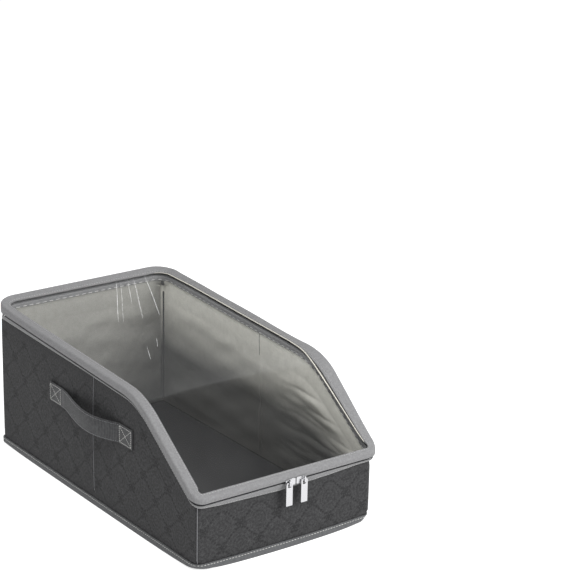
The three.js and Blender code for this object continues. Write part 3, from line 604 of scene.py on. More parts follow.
def embossing(u, v):
    # 0 on the flat and 1 in a pressed line: dotted lines along a lattice of diamonds, a small
    # flower on each crossing, and fainter rings in the middle of each diamond
    width, height = walls["latticeWidth"], walls["latticeHeight"]
    a, b = u / width + v / height, u / width - v / height
    toLine = 1 / math.hypot(1 / width, 1 / height)
    lineA, lineB = (a - np.round(a)) * toLine, (b - np.round(b)) * toLine
    diagonal = math.hypot(width, height)
    alongA, alongB = (u * width - v * height) / diagonal, (u * width + v * height) / diagonal
    dotsA = 0.55 + 0.45 * np.cos(2 * math.pi * alongA / walls["dotPitch"])
    dotsB = 0.55 + 0.45 * np.cos(2 * math.pi * alongB / walls["dotPitch"])
    thin = walls["lineWidth"]
    lines = np.exp(-((lineA / thin) ** 2)) * dotsA + np.exp(-((lineB / thin) ** 2)) * dotsB
    crossU = width * (np.round(a) + np.round(b)) / 2
    crossV = height * (np.round(a) - np.round(b)) / 2
    away = np.hypot(u - crossU, v - crossV)
    turn = np.arctan2(v - crossV, u - crossU)
    petals = np.exp(-(((away - walls["flowerReach"] - 1.6 * np.cos(6 * turn)) / 1.2) ** 2))
    petals += np.exp(-(((away - 1.3) / 1.0) ** 2))
    middleU = width * (np.floor(a) + np.floor(b) + 1) / 2
    middleV = height * (np.floor(a) - np.floor(b)) / 2
    reach = np.hypot(u - middleU, v - middleV)
    rings = (0.5 + 0.5 * np.cos(2 * math.pi * reach / walls["ringPitch"])) ** 2 * 0.4
    rings = rings * (reach < walls["ringReach"])
    return np.clip(lines * (away > 6.5) + 0.85 * petals + rings, 0, 1)


def makeWall(name, side, node, phase):
    # a closed board: its outer face embossed and a little slack, its inner face plain
    stations = lap(walls["grid"], 8, (side,), halves=True)
    rows, topRows = walls["sideRows" if side else "endRows"], walls["topRows"]
    rimFoot = rimTable["v"][0]
    height = np.concatenate([np.linspace(0, 1, rows), np.ones(topRows)])
    aboveFoot = np.linspace(rimFoot, walls["top"], topRows + 1)[1:]
    v = np.concatenate([np.full(rows, rimFoot), aboveFoot])
    outer, facing = wallSurface(stations, height, v, 0)
    along = outer[..., 0] if side % 2 == 0 else outer[..., 1]
    pattern = np.stack([along - phase[0], outer[..., 2] - phase[1]], -1)
    share = stations["share"]
    calm = np.clip((height - 0.04) / 0.06, 0, 1) * np.clip((0.97 - height) / 0.05, 0, 1)
    calm = calm[None] * np.where(stations["turning"], 0, 1)[:, None]
    soft = calm * np.clip(14 * share * (1 - share), 0, 1)[:, None]
    pressedAndShade = embossing(pattern[..., 0], pattern[..., 1]) * calm
    move = -walls["embossDepth"] * pressedAndShade
    move += walls["slack"] * soft * (waves(outer, 11 + side, 150.0) - 0.3)
    if side % 2:
        fold = np.exp(-(((outer[..., 1] - foldY) / 0.9) ** 2))
        shoulder = np.exp(-(((np.abs(outer[..., 1] - foldY) - 3) / 2) ** 2))
        move += (-walls["foldDepth"] * fold + 0.2 * shoulder) * calm
    outer = outer + facing * move[..., None]
    innerRows = [0, rows // 10, rows // 4, rows // 2, rows - 1, rows + 3, rows + topRows - 1]
    inner, _ = wallSurface(stations, height[innerRows], v[innerRows], walls["thickness"])
    rings = np.concatenate([outer, inner[:, ::-1]], 1)
    ends = np.zeros(len(rings))
    ends[0], ends[-1] = 1, -1
    tangent = np.stack([-facing[:, 0, 1], facing[:, 0, 0], 0 * facing[:, 0, 0]], -1)
    rings = rings + (tangent * ends[:, None] * walls["seamSlit"])[:, None]
    uv = np.concatenate([pattern, np.repeat(pattern[:, -1:], inner.shape[1] + 1, 1)], 1)
    wall = sweptPiece(name, rings, False, outerCloth, uv=uv)
    paint(wall, np.concatenate([pressedAndShade, np.zeros(inner.shape[:2])], 1))
    dressed(wall, "case", "outer_fabric", node)


# the wall, the share of it, whether in its corner, and which of three widths the seam has
seamPlaces = {
    "FrontRight": (0, 0.5, True, 0),
    "BackRight": (1, 0.5, True, 1),
    "BackLeft": (2, 0.5, True, 1),
    "FrontLeft": (3, 0.5, True, 0),
    "FoldRight": (1, foldShare, False, 2),
    "FoldLeft": (3, 1 - foldShare, False, 2),
}


def makeSeams(prefix, seam, material, slotName):
    # one cord down each corner and down the fold in each side, half sunk in the cloth
    height = np.concatenate([np.linspace(seam["low"], 1, 50), np.ones(8)])
    rimFoot = rimTable["v"][0]
    v = np.concatenate([np.full(50, rimFoot), np.linspace(rimFoot, seam["top"], 9)[1:]])
    for place, (side, share, turning, which) in seamPlaces.items():
        at = {"side": np.array([side]), "share": np.array([share]), "turning": np.array([turning])}
        line, facing = wallSurface(at, height, v, seam["depth"])
        line, facing = line[0], facing[0]
        if not turning:
            line[:, 1] = foldY + seam["back"]
        across = np.stack([-facing[:, 1], facing[:, 0], 0 * facing[:, 0]], -1)
        half = seam["halves"][which]
        line = line + facing * seam["lift"]
        rings = tube(line, facing * half * seam["flatness"], across * half)
        dressed(sweptPiece(prefix + place, rings, False, material), "case", slotName)


wallSeams = {
    "halves": (0.32, 0.32, 0.28),  # front corners, back corners and folds
    "flatness": 1.0,
    "lift": 0.12,
    "low": 0.1,
    "top": -4.5,
    "depth": 0.0,
    "back": 0.0,
}
makeWall("frontWallCloth", 0, "front_wall", (-63.4, 46.0))
makeWall("rightWallCloth", 1, "right_wall", (-14.0, 30.0))
makeWall("backWallCloth", 2, "back_wall", (10.0, 46.0))
makeWall("leftWallCloth", 3, "left_wall", (-14.0, 30.0))
makeSeams("seam", wallSeams, seamCord, "outer_fabric")
print("walls made")


lining = {
    "outside": 2.3,  # in from the walls' outside
    "inside": 3.3,
    "slack": 1.4,
    "foldDepth": 1.3,
    "wrinkle": 2.6,
    "waveLength": 120.0,
    "wrinkleLength": 70.0,
    "rows": 80,
    # painted shade: how dark the lining's sides and ends are painted, deeper down
    "sideDepths": [0.1, 0.1 + 0.92 / 2.1],  # shares of the way down
    "sideShades": [0, 0.92],  # how dark the sides are there
    "endShades": [0.63, 0.94],  # and the front and back, at the top and at the floor
}


def makeLining():
    stations = lap(2.2, 8)
    count = lining["rows"]
    rows = np.concatenate([np.linspace(0, 1, count), np.ones(4)])
    rimFoot = rimTable["v"][0]
    v = np.concatenate([np.full(count, rimFoot), np.linspace(rimFoot, walls["top"], 5)[1:]])
    outer, _ = wallSurface(stations, rows[::8], v[::8], lining["outside"])
    lip, _ = wallSurface(stations, np.ones(1), np.full(1, walls["top"]), lining["outside"])
    inner, facing = wallSurface(stations, rows, v, lining["inside"])
    inner[..., 2] += 1 - rows[None]
    calm = np.clip(rows / 0.1, 0, 1) * np.clip((0.9 - rows) / 0.1, 0, 1)
    inward = np.clip(16 * stations["share"] * (1 - stations["share"]), 0, 1)
    calm = calm[None] * np.where(stations["turning"], 0, inward)[:, None]
    slack = waves(inner * [0.6, 0.6, 2.2], 31, lining["waveLength"], 6) - 0.9
    # the lining hangs looser under the slope, in long level wrinkles
    loose = np.clip((-30 - inner[..., 1]) / 60, 0, 1)
    wrinkles = np.abs(waves(inner * [0, 0.5, 1.8], 37, lining["wrinkleLength"], 4))
    slack = lining["slack"] * slack - loose * lining["wrinkle"] * wrinkles
    fold = np.exp(-(((inner[..., 1] - foldY) / 2.2) ** 2)) * (np.abs(facing[..., 0]) > 0.9)
    slack = slack - lining["foldDepth"] * fold
    inner = inner + facing * (calm * np.minimum(slack, 0))[..., None]
    # the floor: rings that shrink to a pole in the middle
    shrink = np.linspace(1, 0, 14)[1:]
    bottom = outer[:, :1] * [1, 1, 0] * shrink[::-1][None, :, None] + [0, 0, case["floorTop"]]
    top = inner[:, :1] * [1, 1, 0] * shrink[None, :, None] + [0, 0, case["floorTop"] + 1]
    rings = np.concatenate([bottom, outer, lip, inner[:, ::-1], top], 1)
    piece = sweptPiece("liningCloth", rings, True, liningCloth, poles=True)
    # painted shade: the floor is painted charcoal, and the walls are painted darker towards it,
    # the front and back more than the sides
    places = np.zeros(len(piece.data.vertices) * 3, np.float32)
    piece.data.vertices.foreach_get("co", places)
    places = places.reshape(-1, 3) / mm
    deep = np.clip(1 - places[:, 2] / zipLine(places[:, 1])[0], 0, 1)
    atSide = np.abs(places[:, 0]) > halfWidth - 8
    sideShade = np.interp(deep, lining["sideDepths"], lining["sideShades"])
    paintedShade = np.where(atSide, sideShade, np.interp(deep, [0, 1], lining["endShades"]))
    paint(piece, np.where(places[:, 2] < 5, 1, paintedShade))
    dressed(piece, "case", "lining_fabric", "lining")


# the lining's corner seams are real, and their charcoal colour is painted shade; the strips down
# its folds are painted shade alone
liningSeams = {
    "halves": (1.3, 2.4, 0.5),
    "flatness": 0.3,
    "lift": 0.0,
    "low": 0.05,
    "top": -2.5,
    "depth": lining["inside"],
    "back": 5.0,  # the lining's fold lies this far behind the walls' own
}
makeLining()
makeSeams("liningShadeSeam", liningSeams, shadeTape, "lining_fabric")
print("lining made")


smallStitch = {"pitch": 4.0, "length": 2.7, "width": 0.7, "lift": 0.2}


def footRing(stations, out, z, curl):
    # plan outline near the floor at a distance outside the walls; its corners curl up
    front = max(footCorner(z) + out, 0.5)
    back = max(wallTable["backCorner"][0] + out, 0.5)
    x, y, nx, ny = outline(stations, halfWidth + out, halfDepth + out, front, back)
    share = stations["share"]
    sideBow = walls["sideBow"] * wallTable["side"][0]
    bow = np.where(stations["side"] == 0, walls["frontBow"], sideBow)
    swell = np.where(stations["turning"], 0, bow * np.sin(math.pi * share))
    lift = np.where(stations["turning"], 1, np.abs(2 * share - 1) ** 6)
    return np.stack([x + nx * swell, y + ny * swell, z + lift * curl * foot["lift"]], -1)


def makeFoot():
    stations = lap(2.5, 10)
    sink = foot["panel"]
    curl = -foot["curlWidth"]
    # how far out, how high and how much of the curl, at each edge of the panel's rim
    edges = [
        (curl, 0, 0),
        (-6, 0, 0.55),
        (-0.4, 0, 1),
        (0, 0.3, 1),
        (0, sink - 0.2, 0),
        (-0.4, sink, 0),
        (curl, sink, 0),
    ]
    rings = np.stack([footRing(stations, *edge) for edge in edges], 1)
    low = rings[:, :1] * [1, 1, 0] * np.linspace(0, 0.9, 8)[None, :, None]
    high = rings[:, -1:] * [1, 1, 0] * np.linspace(0.9, 0, 8)[None, :, None] + [0, 0, sink]
    rings = np.concatenate([low, rings, high], 1)
    panel = sweptPiece("basePanelCloth", rings, True, baseCloth, poles=True)
    dressed(panel, "case", "base_fabric", "base_panel")

    inside, outside = foot["gap"], foot["gap"] + foot["tape"]
    top = foot["height"]
    corners = np.array([[inside, 0], [outside, 0], [outside, top], [inside, top], [inside, sink]])
    section = softened(corners[None].astype(float), [0.2, foot["round"], 0.9, 0.3, 0.1], 4)[0]
    curls = [max(0, 1 - z / sink) if u < 1 else 1 - z / top for u, z in section]
    rings = [footRing(stations, u, z, lift) for (u, z), lift in zip(section, curls)]
    rings = np.stack(rings, 1)
    ripple = waves(footRing(stations, 0, 5, 0), 51, 90.0)
    upper = np.where(section[:, 1] > top / 2, foot["ripple"], 0)
    rings[..., 2] += upper[None] * (ripple[:, None] - 0.6)
    tape = sweptPiece("footBindingTape", rings, True, footTapeFinish)
    dressed(tape, "case", "base_tape", "base_binding")

    line = footRing(stations, outside, top - foot["stitchDrop"], 0)
    facing = footRing(stations, outside + 1, top - foot["stitchDrop"], 0) - line
    row = stitches("footStitches", [(line, facing, True)], smallStitch, lightThread)
    dressed(row, "case", "base_tape")


makeFoot()
print("base made")


rim = {
    "tape": 1.0,
    "gap": 0.3,
    "innerLeg": 6.0,
    "outerLeg": 8.4,
    "tapeAtZip": 4.3,  # u of the zip tapes' inner faces
    "zipTape": 0.8,
    "slit": 2.0,
    "coilThick": 1.3,
    "coilHalf": 1.6,
    "toothPitch": 1.6,
    "stitchUp": 1.2,  # above the inner leg's lower edge
    "tapeStitchUp": 1.4,  # above the body tape's lower edge
    "leftAxle": -3.65,  # x of the two pulls' axles
    "rightAxle": 16.85,
    "coilStop": 2.8,  # the closed coil ends this far before an axle
}
lid = {
    "rise": 9.7,  # top face above the zip line's surface
    "tape": 1.2,
    "film": 0.5,
    "frontBand": 8.5,
    "sideBand": 12.5,
    "underLeg": 6.0,
    "skirtStandOff": 0.9,
    "skirtTape": 1.0,
    "skirtBottom": 1.7,
    "round": 3.0,
    "sag": 3.0,  # of the film
    "ripple": 0.25,
    "filmRows": 120,
    "filmColumns": 61,
}
# how far below the zip line the body's tape is sewn: across the front, and back along a side
frontDrops = ([0, 0.12, 0.45, 0.75, 0.9, 1], [4.6, 7, 9.6, 7.2, 4.8, 4.6])
sideDrops = ([0, 0.5, 1], [4.6, 5, 9])
lapStations = lap(2.5, 12)
lapZip = zipFrame(lapStations)
liningFace = -(walls["thickness"] + 2 * rim["gap"] + 1.0)
capTop = walls["top"] + rim["gap"] + rim["tape"]
tapeFoot = 2 * rim["gap"] + rim["tape"]
tapeOutside = rim["tapeAtZip"] + rim["zipTape"]
skirtInside = tapeOutside + lid["skirtStandOff"]
skirtOutside = skirtInside + lid["skirtTape"]
filmUnder = lid["rise"] - lid["tape"] - rim["gap"] - lid["film"]
thinStitch = {"pitch": 3.6, "length": 2.5, "width": 0.55, "lift": 0.15}
hemStitch = {"pitch": 9.4, "length": 6.0, "width": 0.9, "lift": 0.25}


def picked(values, keep):
    return {key: value[keep] for key, value in values.items()}


def tapeDrops(zips):
    across = np.clip((zips["origin"][:, 0] + halfWidth) / case["width"], 0, 1)
    back = np.clip((zips["y"] + halfDepth) / case["depth"], 0, 1)
    onSide = np.interp(back, *sideDrops)
    onFront = np.interp(across, *frontDrops)
    return np.where(zips["ny"] < 0, onSide + (onFront - onSide) * (1 - np.abs(zips["nx"])), onSide)


def carry(zips, pairs, radii, steps=3, toWall=None):
    # pairs is a list of (u, v), each a number or an array along the run; toWall is (stations,
    # drop, start) for a tape whose foot sits on the wall
    count = len(zips["y"])
    corners = np.stack([
        np.stack([np.broadcast_to(u, count), np.broadcast_to(v, count)], -1) for u, v in pairs
    ], 1).astype(float)
    section = softened(corners, radii, steps)
    rings = zipPoints(zips, section[..., 0], section[..., 1])
    return rings if toWall is None else rings + wallSlide(section[..., 1], *toWall)


def wallSlide(v, stations, drop, start):
    # from v = start down to its foot, a tape leaves the zip line's wide corners for the sharper
    # ones that the walls have at its foot
    front, back = [np.interp(-drop, rimTable["v"], rimTable[key]) for key in rimKeys]
    slide = zipFrame(stations, front, back)["origin"] - zipFrame(stations)["origin"]
    share = np.clip((start - v) / (start + drop)[:, None], 0, 1)
    return slide[:, None] * share[..., None]


def makeRim():
    inside, outer, tape = liningFace, rim["gap"], rim["tape"]
    pairs = [
        (inside - tape, capTop - rim["innerLeg"]),
        (inside, capTop - rim["innerLeg"]),
        (inside, capTop - tape),
        (outer, capTop - tape),
        (outer, capTop - rim["outerLeg"]),
        (outer + tape, capTop - rim["outerLeg"]),
        (outer + tape, capTop),
        (inside - tape, capTop),
    ]
    rings = carry(lapZip, pairs, [0.35, 0.35, 0.3, 0.3, 0.35, 0.35, 1.2, 1.2])
    piece = sweptPiece("rimBindingTape", rings, True, rimTapeFinish)
    dressed(piece, "case", "grey_tape", "rim_binding")

    v = capTop - rim["innerLeg"] + rim["stitchUp"]
    u = np.full((len(lapZip["y"]), 1), inside - tape)
    line = zipPoints(lapZip, u, np.array([[v]]))[:, 0]
    row = stitches("rimStitches", [(line, -lapZip["out"], True)], hemStitch, lightThread)
    dressed(row, "case", "grey_tape")


def zipRun():
    # the run from the middle of one back corner, round the front, to the middle of the other,
    # and the run along the back that is left
    side, share = lapStations["side"], lapStations["share"]
    turning = lapStations["turning"]
    late, early = turning & (share >= 0.5), ~turning | (share <= 0.5)
    leftPart = np.flatnonzero((side == 2) & late | (side == 3))
    rightPart = np.flatnonzero((side == 0) | (side == 1) & early)
    backPart = np.flatnonzero((side == 1) & late | (side == 2) & early)
    return np.concatenate([leftPart, rightPart]), backPart


def lidTapePairs(zips, lowEdge):
    rise = filmUnder - rim["gap"]
    outer = (tapeOutside, sheetV(zips, tapeOutside, rise))
    inner = (rim["tapeAtZip"], sheetV(zips, rim["tapeAtZip"], rise - rim["zipTape"]))
    far = lid["underLeg"]
    near = far - rim["zipTape"]
    return [
        *lowEdge,
        outer,
        (outer[0] - zips["cos"] * far, outer[1] + zips["sin"] * far),
        (inner[0] - zips["cos"] * near, inner[1] + zips["sin"] * near),
        inner,
    ]


def makeZipTapes():
    order, rest = zipRun()
    run, hinge = picked(lapZip, order), picked(lapZip, rest)
    knee = -(rim["coilHalf"] + 2 * rim["gap"])
    half = rim["slit"] / 2
    tape = rim["zipTape"]
    drop = tapeDrops(run)
    bodyWall = (picked(lapStations, order), drop, knee)
    pairs = [
        (tapeFoot, -drop),
        (tapeFoot + tape, -drop),
        (tapeOutside, knee),
        (tapeOutside, -half),
        (rim["tapeAtZip"], -half),
        (rim["tapeAtZip"], knee),
    ]
    rings = carry(run, pairs, [0.2, 0.4, 1.5, 0.4, 0.2, 1.0], 3, bodyWall)
    piece = sweptPiece("bodyZipTape", rings, False, rimTapeFinish)
    dressed(piece, "case", "grey_tape", "body_zip_tape")

    lowEdge = [(rim["tapeAtZip"], half), (tapeOutside, half)]
    rings = carry(run, lidTapePairs(run, lowEdge), [0.2, 0.3, 1.2, 0.3, 0.3, 0.6])
    piece = sweptPiece("lidZipTape", rings, False, rimTapeFinish)
    dressed(piece, "case", "grey_tape", "lid_zip_tape")

    hingeDrop = tapeDrops(hinge)
    hingeWall = (picked(lapStations, rest), hingeDrop, 0.0)
    lowEdge = [
        (rim["tapeAtZip"], 0),
        (tapeFoot, -hingeDrop),
        (tapeFoot + tape, -hingeDrop),
        (tapeOutside, 0),
    ]
    pairs = lidTapePairs(hinge, lowEdge)
    rings = carry(hinge, pairs, [0.5, 0.2, 0.4, 0.8, 1.2, 0.3, 0.3, 0.6], 3, hingeWall)
    piece = sweptPiece("hingeCloth", rings, False, rimTapeFinish)
    dressed(piece, "case", "grey_tape", "hinge_tape")

    rows = []
    for zips, wall in ((run, bodyWall), (hinge, hingeWall)):
        stations, low, start = wall
        v = rim["tapeStitchUp"] - low
        share = rim["tapeStitchUp"] / (low + start)
        u = tapeFoot + tape + (tapeOutside - tapeFoot - tape) * share + 0.08
        line = zipPoints(zips, u[:, None], v[:, None]) + wallSlide(v[:, None], *wall)
        rows.append((line[:, 0], zips["out"], False))
    dressed(stitches("zipTapeStitches", rows, thinStitch, greyThread), "case", "grey_tape")


def makeCoils():
    # a bar whose thickness rises and falls once for every tooth of the coil
    middleU = rim["tapeAtZip"] - rim["gap"] - rim["coilThick"] / 2
    stations = lap(0.5, 24)
    fine = zipFrame(stations)
    side, turning, share = stations["side"], stations["turning"], stations["share"]
    x = fine["origin"][:, 0]
    leftRun = np.concatenate([
        np.flatnonzero((side == 2) & turning & (share > 0.52)),
        np.flatnonzero(side == 3),
        np.flatnonzero((side == 0) & ~turning & (x < rim["leftAxle"] - rim["coilStop"])),
    ])
    rightRun = np.concatenate([
        np.flatnonzero((side == 0) & (turning | (x > rim["rightAxle"] + rim["coilStop"]))),
        np.flatnonzero((side == 1) & (~turning | (share < 0.48))),
    ])
    turn = np.arange(8) * math.pi / 4
    for name, node, run in (
        ("coilLeft", "zip_coil_left", leftRun),
        ("coilRight", "zip_coil_right", rightRun),
    ):
        zips = picked(fine, run)
        far = runLength(zips["origin"])
        tooth = 0.84 + 0.16 * np.cos(2 * math.pi * far / rim["toothPitch"])[:, None]
        u = middleU + rim["coilThick"] / 2 * tooth * np.cos(turn) * 0.98
        v = rim["coilHalf"] * tooth * np.sin(turn)
        piece = sweptPiece(name, zipPoints(zips, u, v), False, nylonFinish)
        dressed(piece, "case", "coil_plastic", node)


makeRim()
makeZipTapes()
makeCoils()
print("rim and zip made")


# how the soft lid's edge differs from an even, flat frame; tables are (y, value)
lidEdge = {
    "narrowing": ([-110, -60, 150, 205], [0, 2.6, 2.6, 0]),  # of the right band
    "flank": ([-215, -195, -150, -115, -70, 0, 150], [0.5, 1.5, 2.6, 3.4, 1.8, 2.6, 3.6]),
    "bulge": ([-200, -160, -125, -85, -30], [0, 2.6, 4.2, 1.6, 0.8]),
    "filmGap": ([-214, -200, -125, -95, -60], [0.9, 2.0, 2.6, 1.2, 0.8]),
    "edgeThick": ([-218, -205, 190, 215], [0.2, 1, 1, 0.2]),
    "backLift": 3.9,
    "backLiftRight": 1.6,  # more at the back's right end
    "wave": 0.35,
    "stitchIn": 2.0,  # from the band's inner edge
}


def onRight(zips):
    return np.clip((zips["origin"][:, 0] - 60) / 55, 0, 1)


def bandWidths(zips):
    # the band is narrow across the front, and on the right it narrows again past the bend
    front = lid["frontBand"] + (lid["sideBand"] - lid["frontBand"]) * np.abs(zips["nx"])
    narrowing = np.interp(zips["y"], *lidEdge["narrowing"])
    return np.where(zips["ny"] < 0, front, lid["sideBand"] - narrowing * onRight(zips))


def standing(zips):
    # the lid's outer edge stands proud along the back and the right, and bulges over the bend
    x, y, atRight = zips["origin"][:, 0], zips["y"], onRight(zips)
    right = np.clip((x + halfWidth) / case["width"], 0, 1)
    back = np.clip((y - 150) / 60, 0, 1) ** 2
    flank = np.interp(y, *lidEdge["flank"]) + lidEdge["wave"] * np.sin(y / 23)
    backLift = back * (lidEdge["backLift"] + lidEdge["backLiftRight"] * right)
    lift = np.maximum(backLift, atRight * flank * (y < 190))
    bulge = atRight * np.interp(y, *lidEdge["bulge"])
    return smoothRun(lift), smoothRun(bulge * (y < 150))


def smoothRun(values, reach=6):
    # a running mean round the closed lap
    spread = [np.roll(values, shift) for shift in range(-reach, reach + 1)]
    return np.mean(spread, axis=0)


def makeLidBinding():
    width = bandWidths(lapZip)
    count = len(width)
    lift, bulge = standing(lapZip)
    underRise = lid["rise"] - lid["tape"]
    flat = (np.full(count, skirtOutside), sheetV(lapZip, skirtOutside, lid["rise"]))
    flatInner = (np.full(count, skirtInside), sheetV(lapZip, skirtInside, underRise))
    outer, inner = [(u + bulge, v + lift) for u, v in (flat, flatInner)]
    narrow = width - lid["skirtTape"]
    cosine, sine = lapZip["cos"], lapZip["sin"]
    pairs = [
        (skirtInside, lid["skirtBottom"]),
        (skirtOutside, lid["skirtBottom"]),
        outer,
        (flat[0] - cosine * width, flat[1] + sine * width),
        (flatInner[0] - cosine * narrow, flatInner[1] + sine * narrow),
        inner,
    ]
    rings = carry(lapZip, pairs, [0.2, 0.5, lid["round"], 0.6, 0.2, 1.0], 5)
    piece = sweptPiece("lidBindingTape", rings, True, rimTapeFinish)
    dressed(piece, "case", "grey_tape", "lid_binding")

    def onTop(inward, above):
        share = 1 - inward / width
        u = flat[0] + bulge * share - cosine * inward + sine * above
        v = flat[1] + lift * share + sine * inward + cosine * above
        return zipPoints(lapZip, u[:, None], v[:, None])[:, 0]

    # painted glint and shadow: along the right, the film's cut edge is a pale tube that stands in
    # for it catching the light, and on the slope a dark tube beside it stands in for the shadow
    # under the band
    order = np.flatnonzero(lapStations["side"] == 1)
    gap = np.interp(lapZip["y"], *lidEdge["filmGap"])
    for name, shift, radius, fade, material in (
        ("filmEdgeGlintRight", 1.0, 0.55, 1.0, paleEdgeGlint),
        ("filmGapShadowRight", 0.45, 0.6, 0.15, shadeTape),
    ):
        middle, above = [onTop(width + gap * shift, height)[order] for height in (0.2, 1.2)]
        beside = onTop(width + gap * shift + 1, 0.2)[order]
        y = middle[:, 1]
        thick = radius * np.interp(y, *lidEdge["edgeThick"])
        thick = (thick * np.interp(y, [-130, -100], [1, fade]))[:, None]
        rings = tube(middle, (above - middle) * thick, (beside - middle) * thick)
        dressed(sweptPiece(name, rings, False, material), "case", "clear_film")

    inward = width - lidEdge["stitchIn"]
    line = onTop(inward, 0.1)
    facing = onTop(inward, 1.1) - line
    row = stitches("lidStitches", [(line, facing, True)], thinStitch, greyThread)
    dressed(row, "case", "grey_tape")


# creases in the film, painted pale as glints: start x and y, heading in degrees, half width and
# length
creaseGlints = [
    (43.7, 213, -120.3, 0.42, 132),
    (49.5, 212, -120.0, 0.24, 136),
    (61.0, 213, -118.5, 0.3, 84),
    (68.7, 212, -116.8, 0.42, 131),
    (86.5, 213, -114.2, 0.48, 132),
    (-35.0, 16, -115.7, 0.28, 39),
    (-10.0, 34, -120.0, 0.32, 28),
]


def makeFilm():
    edge = rim["tapeAtZip"] - rim["gap"]
    halfX, halfY = halfWidth + edge, halfDepth + edge
    frontRadius, backRadius = case["rimFrontCorner"] + edge, case["rimBackCorner"] + edge
    corner = 12  # stations round each corner
    turn = np.linspace(0, math.pi / 2, corner)
    frontY = -halfY + frontRadius * (1 - np.cos(turn))
    backY = halfY - backRadius * (1 - np.cos(turn))
    between = np.linspace(frontY[-1], backY[-1], lid["filmRows"])[1:-1]
    y = np.concatenate([frontY, between, backY[::-1]])
    reach = halfX + 0 * y
    reach[:corner] = halfX - frontRadius * (1 - np.sin(turn))
    reach[-corner:] = (halfX - backRadius * (1 - np.sin(turn)))[::-1]
    bandInside = edge + lid["sideBand"]
    share = np.linspace(-1, 1, lid["filmColumns"])[None]
    flat = ((reach - bandInside) / reach)[:, None]
    across = np.clip(1 - (share / flat) ** 2, 0, 1)
    x = share * reach[:, None]
    deep = y[:, None] + 0 * x  # y at every point
    # the sag is a half wave along each of the two flats, so the bend line stays taut
    bendY = case["bendFromFront"] - halfDepth
    ends = [bandInside - halfY, bendY, halfY - bandInside]
    place = np.interp(y, ends, [0, 1, 2])
    along = np.abs(np.sin(math.pi * place))[:, None]
    ripple = lid["ripple"] * (waves(np.stack([x, deep], -1), 71, 130.0) - 0.5)

    def face(offset):
        tilt = np.arctan(zipLine(y)[1])
        base = y + np.sin(tilt) * offset
        z, slope = zipLine(base)
        tilt = np.arctan(slope)
        lowered = offset - lid["sag"] * along * across + across * (along > 0) * ripple
        place = (base - np.sin(tilt) * offset)[:, None] + 0 * x
        return np.stack([x, place, z[:, None] + np.cos(tilt)[:, None] * lowered], -1)

    top, under = face(filmUnder + lid["film"]), face(filmUnder)
    rings = np.concatenate([top, under[:, ::-1]], 1)
    piece = sweptPiece("lidFilm", rings, False, vinylFinish)
    dressed(piece, "case", "clear_film", "lid_film")
    return top, y, reach


def makeCreaseGlints(top, y, reach):
    # each crease is a thin ridge laid along the film, its height read off the film's own grid, and
    # painted pale as a glint
    points, quads = [], []
    count, sides = 60, 6
    swell = np.sqrt(np.sin(math.pi * np.linspace(0.01, 0.99, count)))[:, None]
    for startX, startY, heading, half, length in creaseGlints:
        far = np.linspace(0, length, count)
        bearing = math.radians(heading)
        lineX = startX + far * math.cos(bearing) + 0.3 * np.sin(far / 21 + startX)
        lineY = startY + far * math.sin(bearing)
        row = np.interp(lineY, y, np.arange(len(y)))
        column = (lineX / np.interp(lineY, y, reach) + 1) / 2 * (top.shape[1] - 1)
        low, left = np.floor(row).astype(int), np.floor(column).astype(int)
        up, right = row - low, column - left
        height = (
            top[low, left, 2] * (1 - up) * (1 - right)
            + top[low + 1, left, 2] * up * (1 - right)
            + top[low, left + 1, 2] * (1 - up) * right
            + top[low + 1, left + 1, 2] * up * right
        )
        middle = np.stack([lineX, lineY, height + 0.1], -1)
        sideways = half * swell * [-math.sin(bearing), math.cos(bearing), 0]
        quads.append(tubeQuads(count, sides) + count * sides * len(points))
        points.append(tube(middle, sideways, 0.12 * swell * [0, 0, 1], sides).reshape(-1, 3))
    points, quads = np.concatenate(points), np.concatenate(quads)
    dressed(makeMesh("filmCreaseGlints", points, quads, creaseGlintFinish), "case", "clear_film")


makeLidBinding()
makeCreaseGlints(*makeFilm())
print("lid made")


def beveledMetal(name, node, body, width):
    # the CAD solid's own faces, with their edges rounded as plating and tumbling leave them
    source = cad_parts[node]
    mesh = source.data.copy()
    mesh.name = name
    piece = bpy.data.objects.new(name, mesh)
    bpy.context.scene.collection.objects.link(piece)
    shell = bmesh.new()
    shell.from_mesh(mesh)
    bmesh.ops.remove_doubles(shell, verts=shell.verts, dist=1e-6)
    flat = {"verts": shell.verts, "edges": shell.edges}
    bmesh.ops.dissolve_limit(shell, angle_limit=math.radians(2), **flat)
    shell.to_mesh(mesh)
    shell.free()
    mesh.materials.clear()
    mesh.materials.append(zincFinish)
    mesh.polygons.foreach_set("use_smooth", np.ones(len(mesh.polygons), bool))
    bevel = piece.modifiers.new("rounded edges", "BEVEL")
    bevel.width = width * mm
    bevel.segments = 3
    bevel.limit_method = "ANGLE"
    bevel.angle_limit = math.radians(30)
    bevel.harden_normals = True
    dressed(piece, body, "zip_metal", node)


edges = {"slider": 0.22, "pull": 0.35}  # how wide they are rounded
beveledMetal("sliderLeft", "slider_left", "case", edges["slider"])
beveledMetal("sliderRight", "slider_right", "case", edges["slider"])
beveledMetal("pullLeft", "pull_left", "left_pull", edges["pull"])
beveledMetal("pullRight", "pull_right", "right_pull", edges["pull"])
print("sliders and pulls made")


strap = {
    "width": 24.0,
    "thick": 1.5,
    "length": 184.0,
    "fromFront": 127.0,
    "height": 112.0,
    "patch": 28.0,
    "bow": 12.5,
    "drop": 1.5,
    "peak": 0.4,
    "ease": 1.3,
    "ribPitch": 2.3,
    "ribDepth": 0.3,
    "cup": 1.1,  # how far the loose part cups
    "patchInset": 2.0,  # of the box stitch, from the patch's ends
    "boxInset": 2.2,  # and from the strap's edges
    "edgeInset": 1.8,  # of the edge stitch
}
boxStitch = {"pitch": 2.6, "length": 2.1, "width": 0.6, "lift": 0.3}
edgeStitch = {**boxStitch, "width": 0.4, "pitch": 3.0}


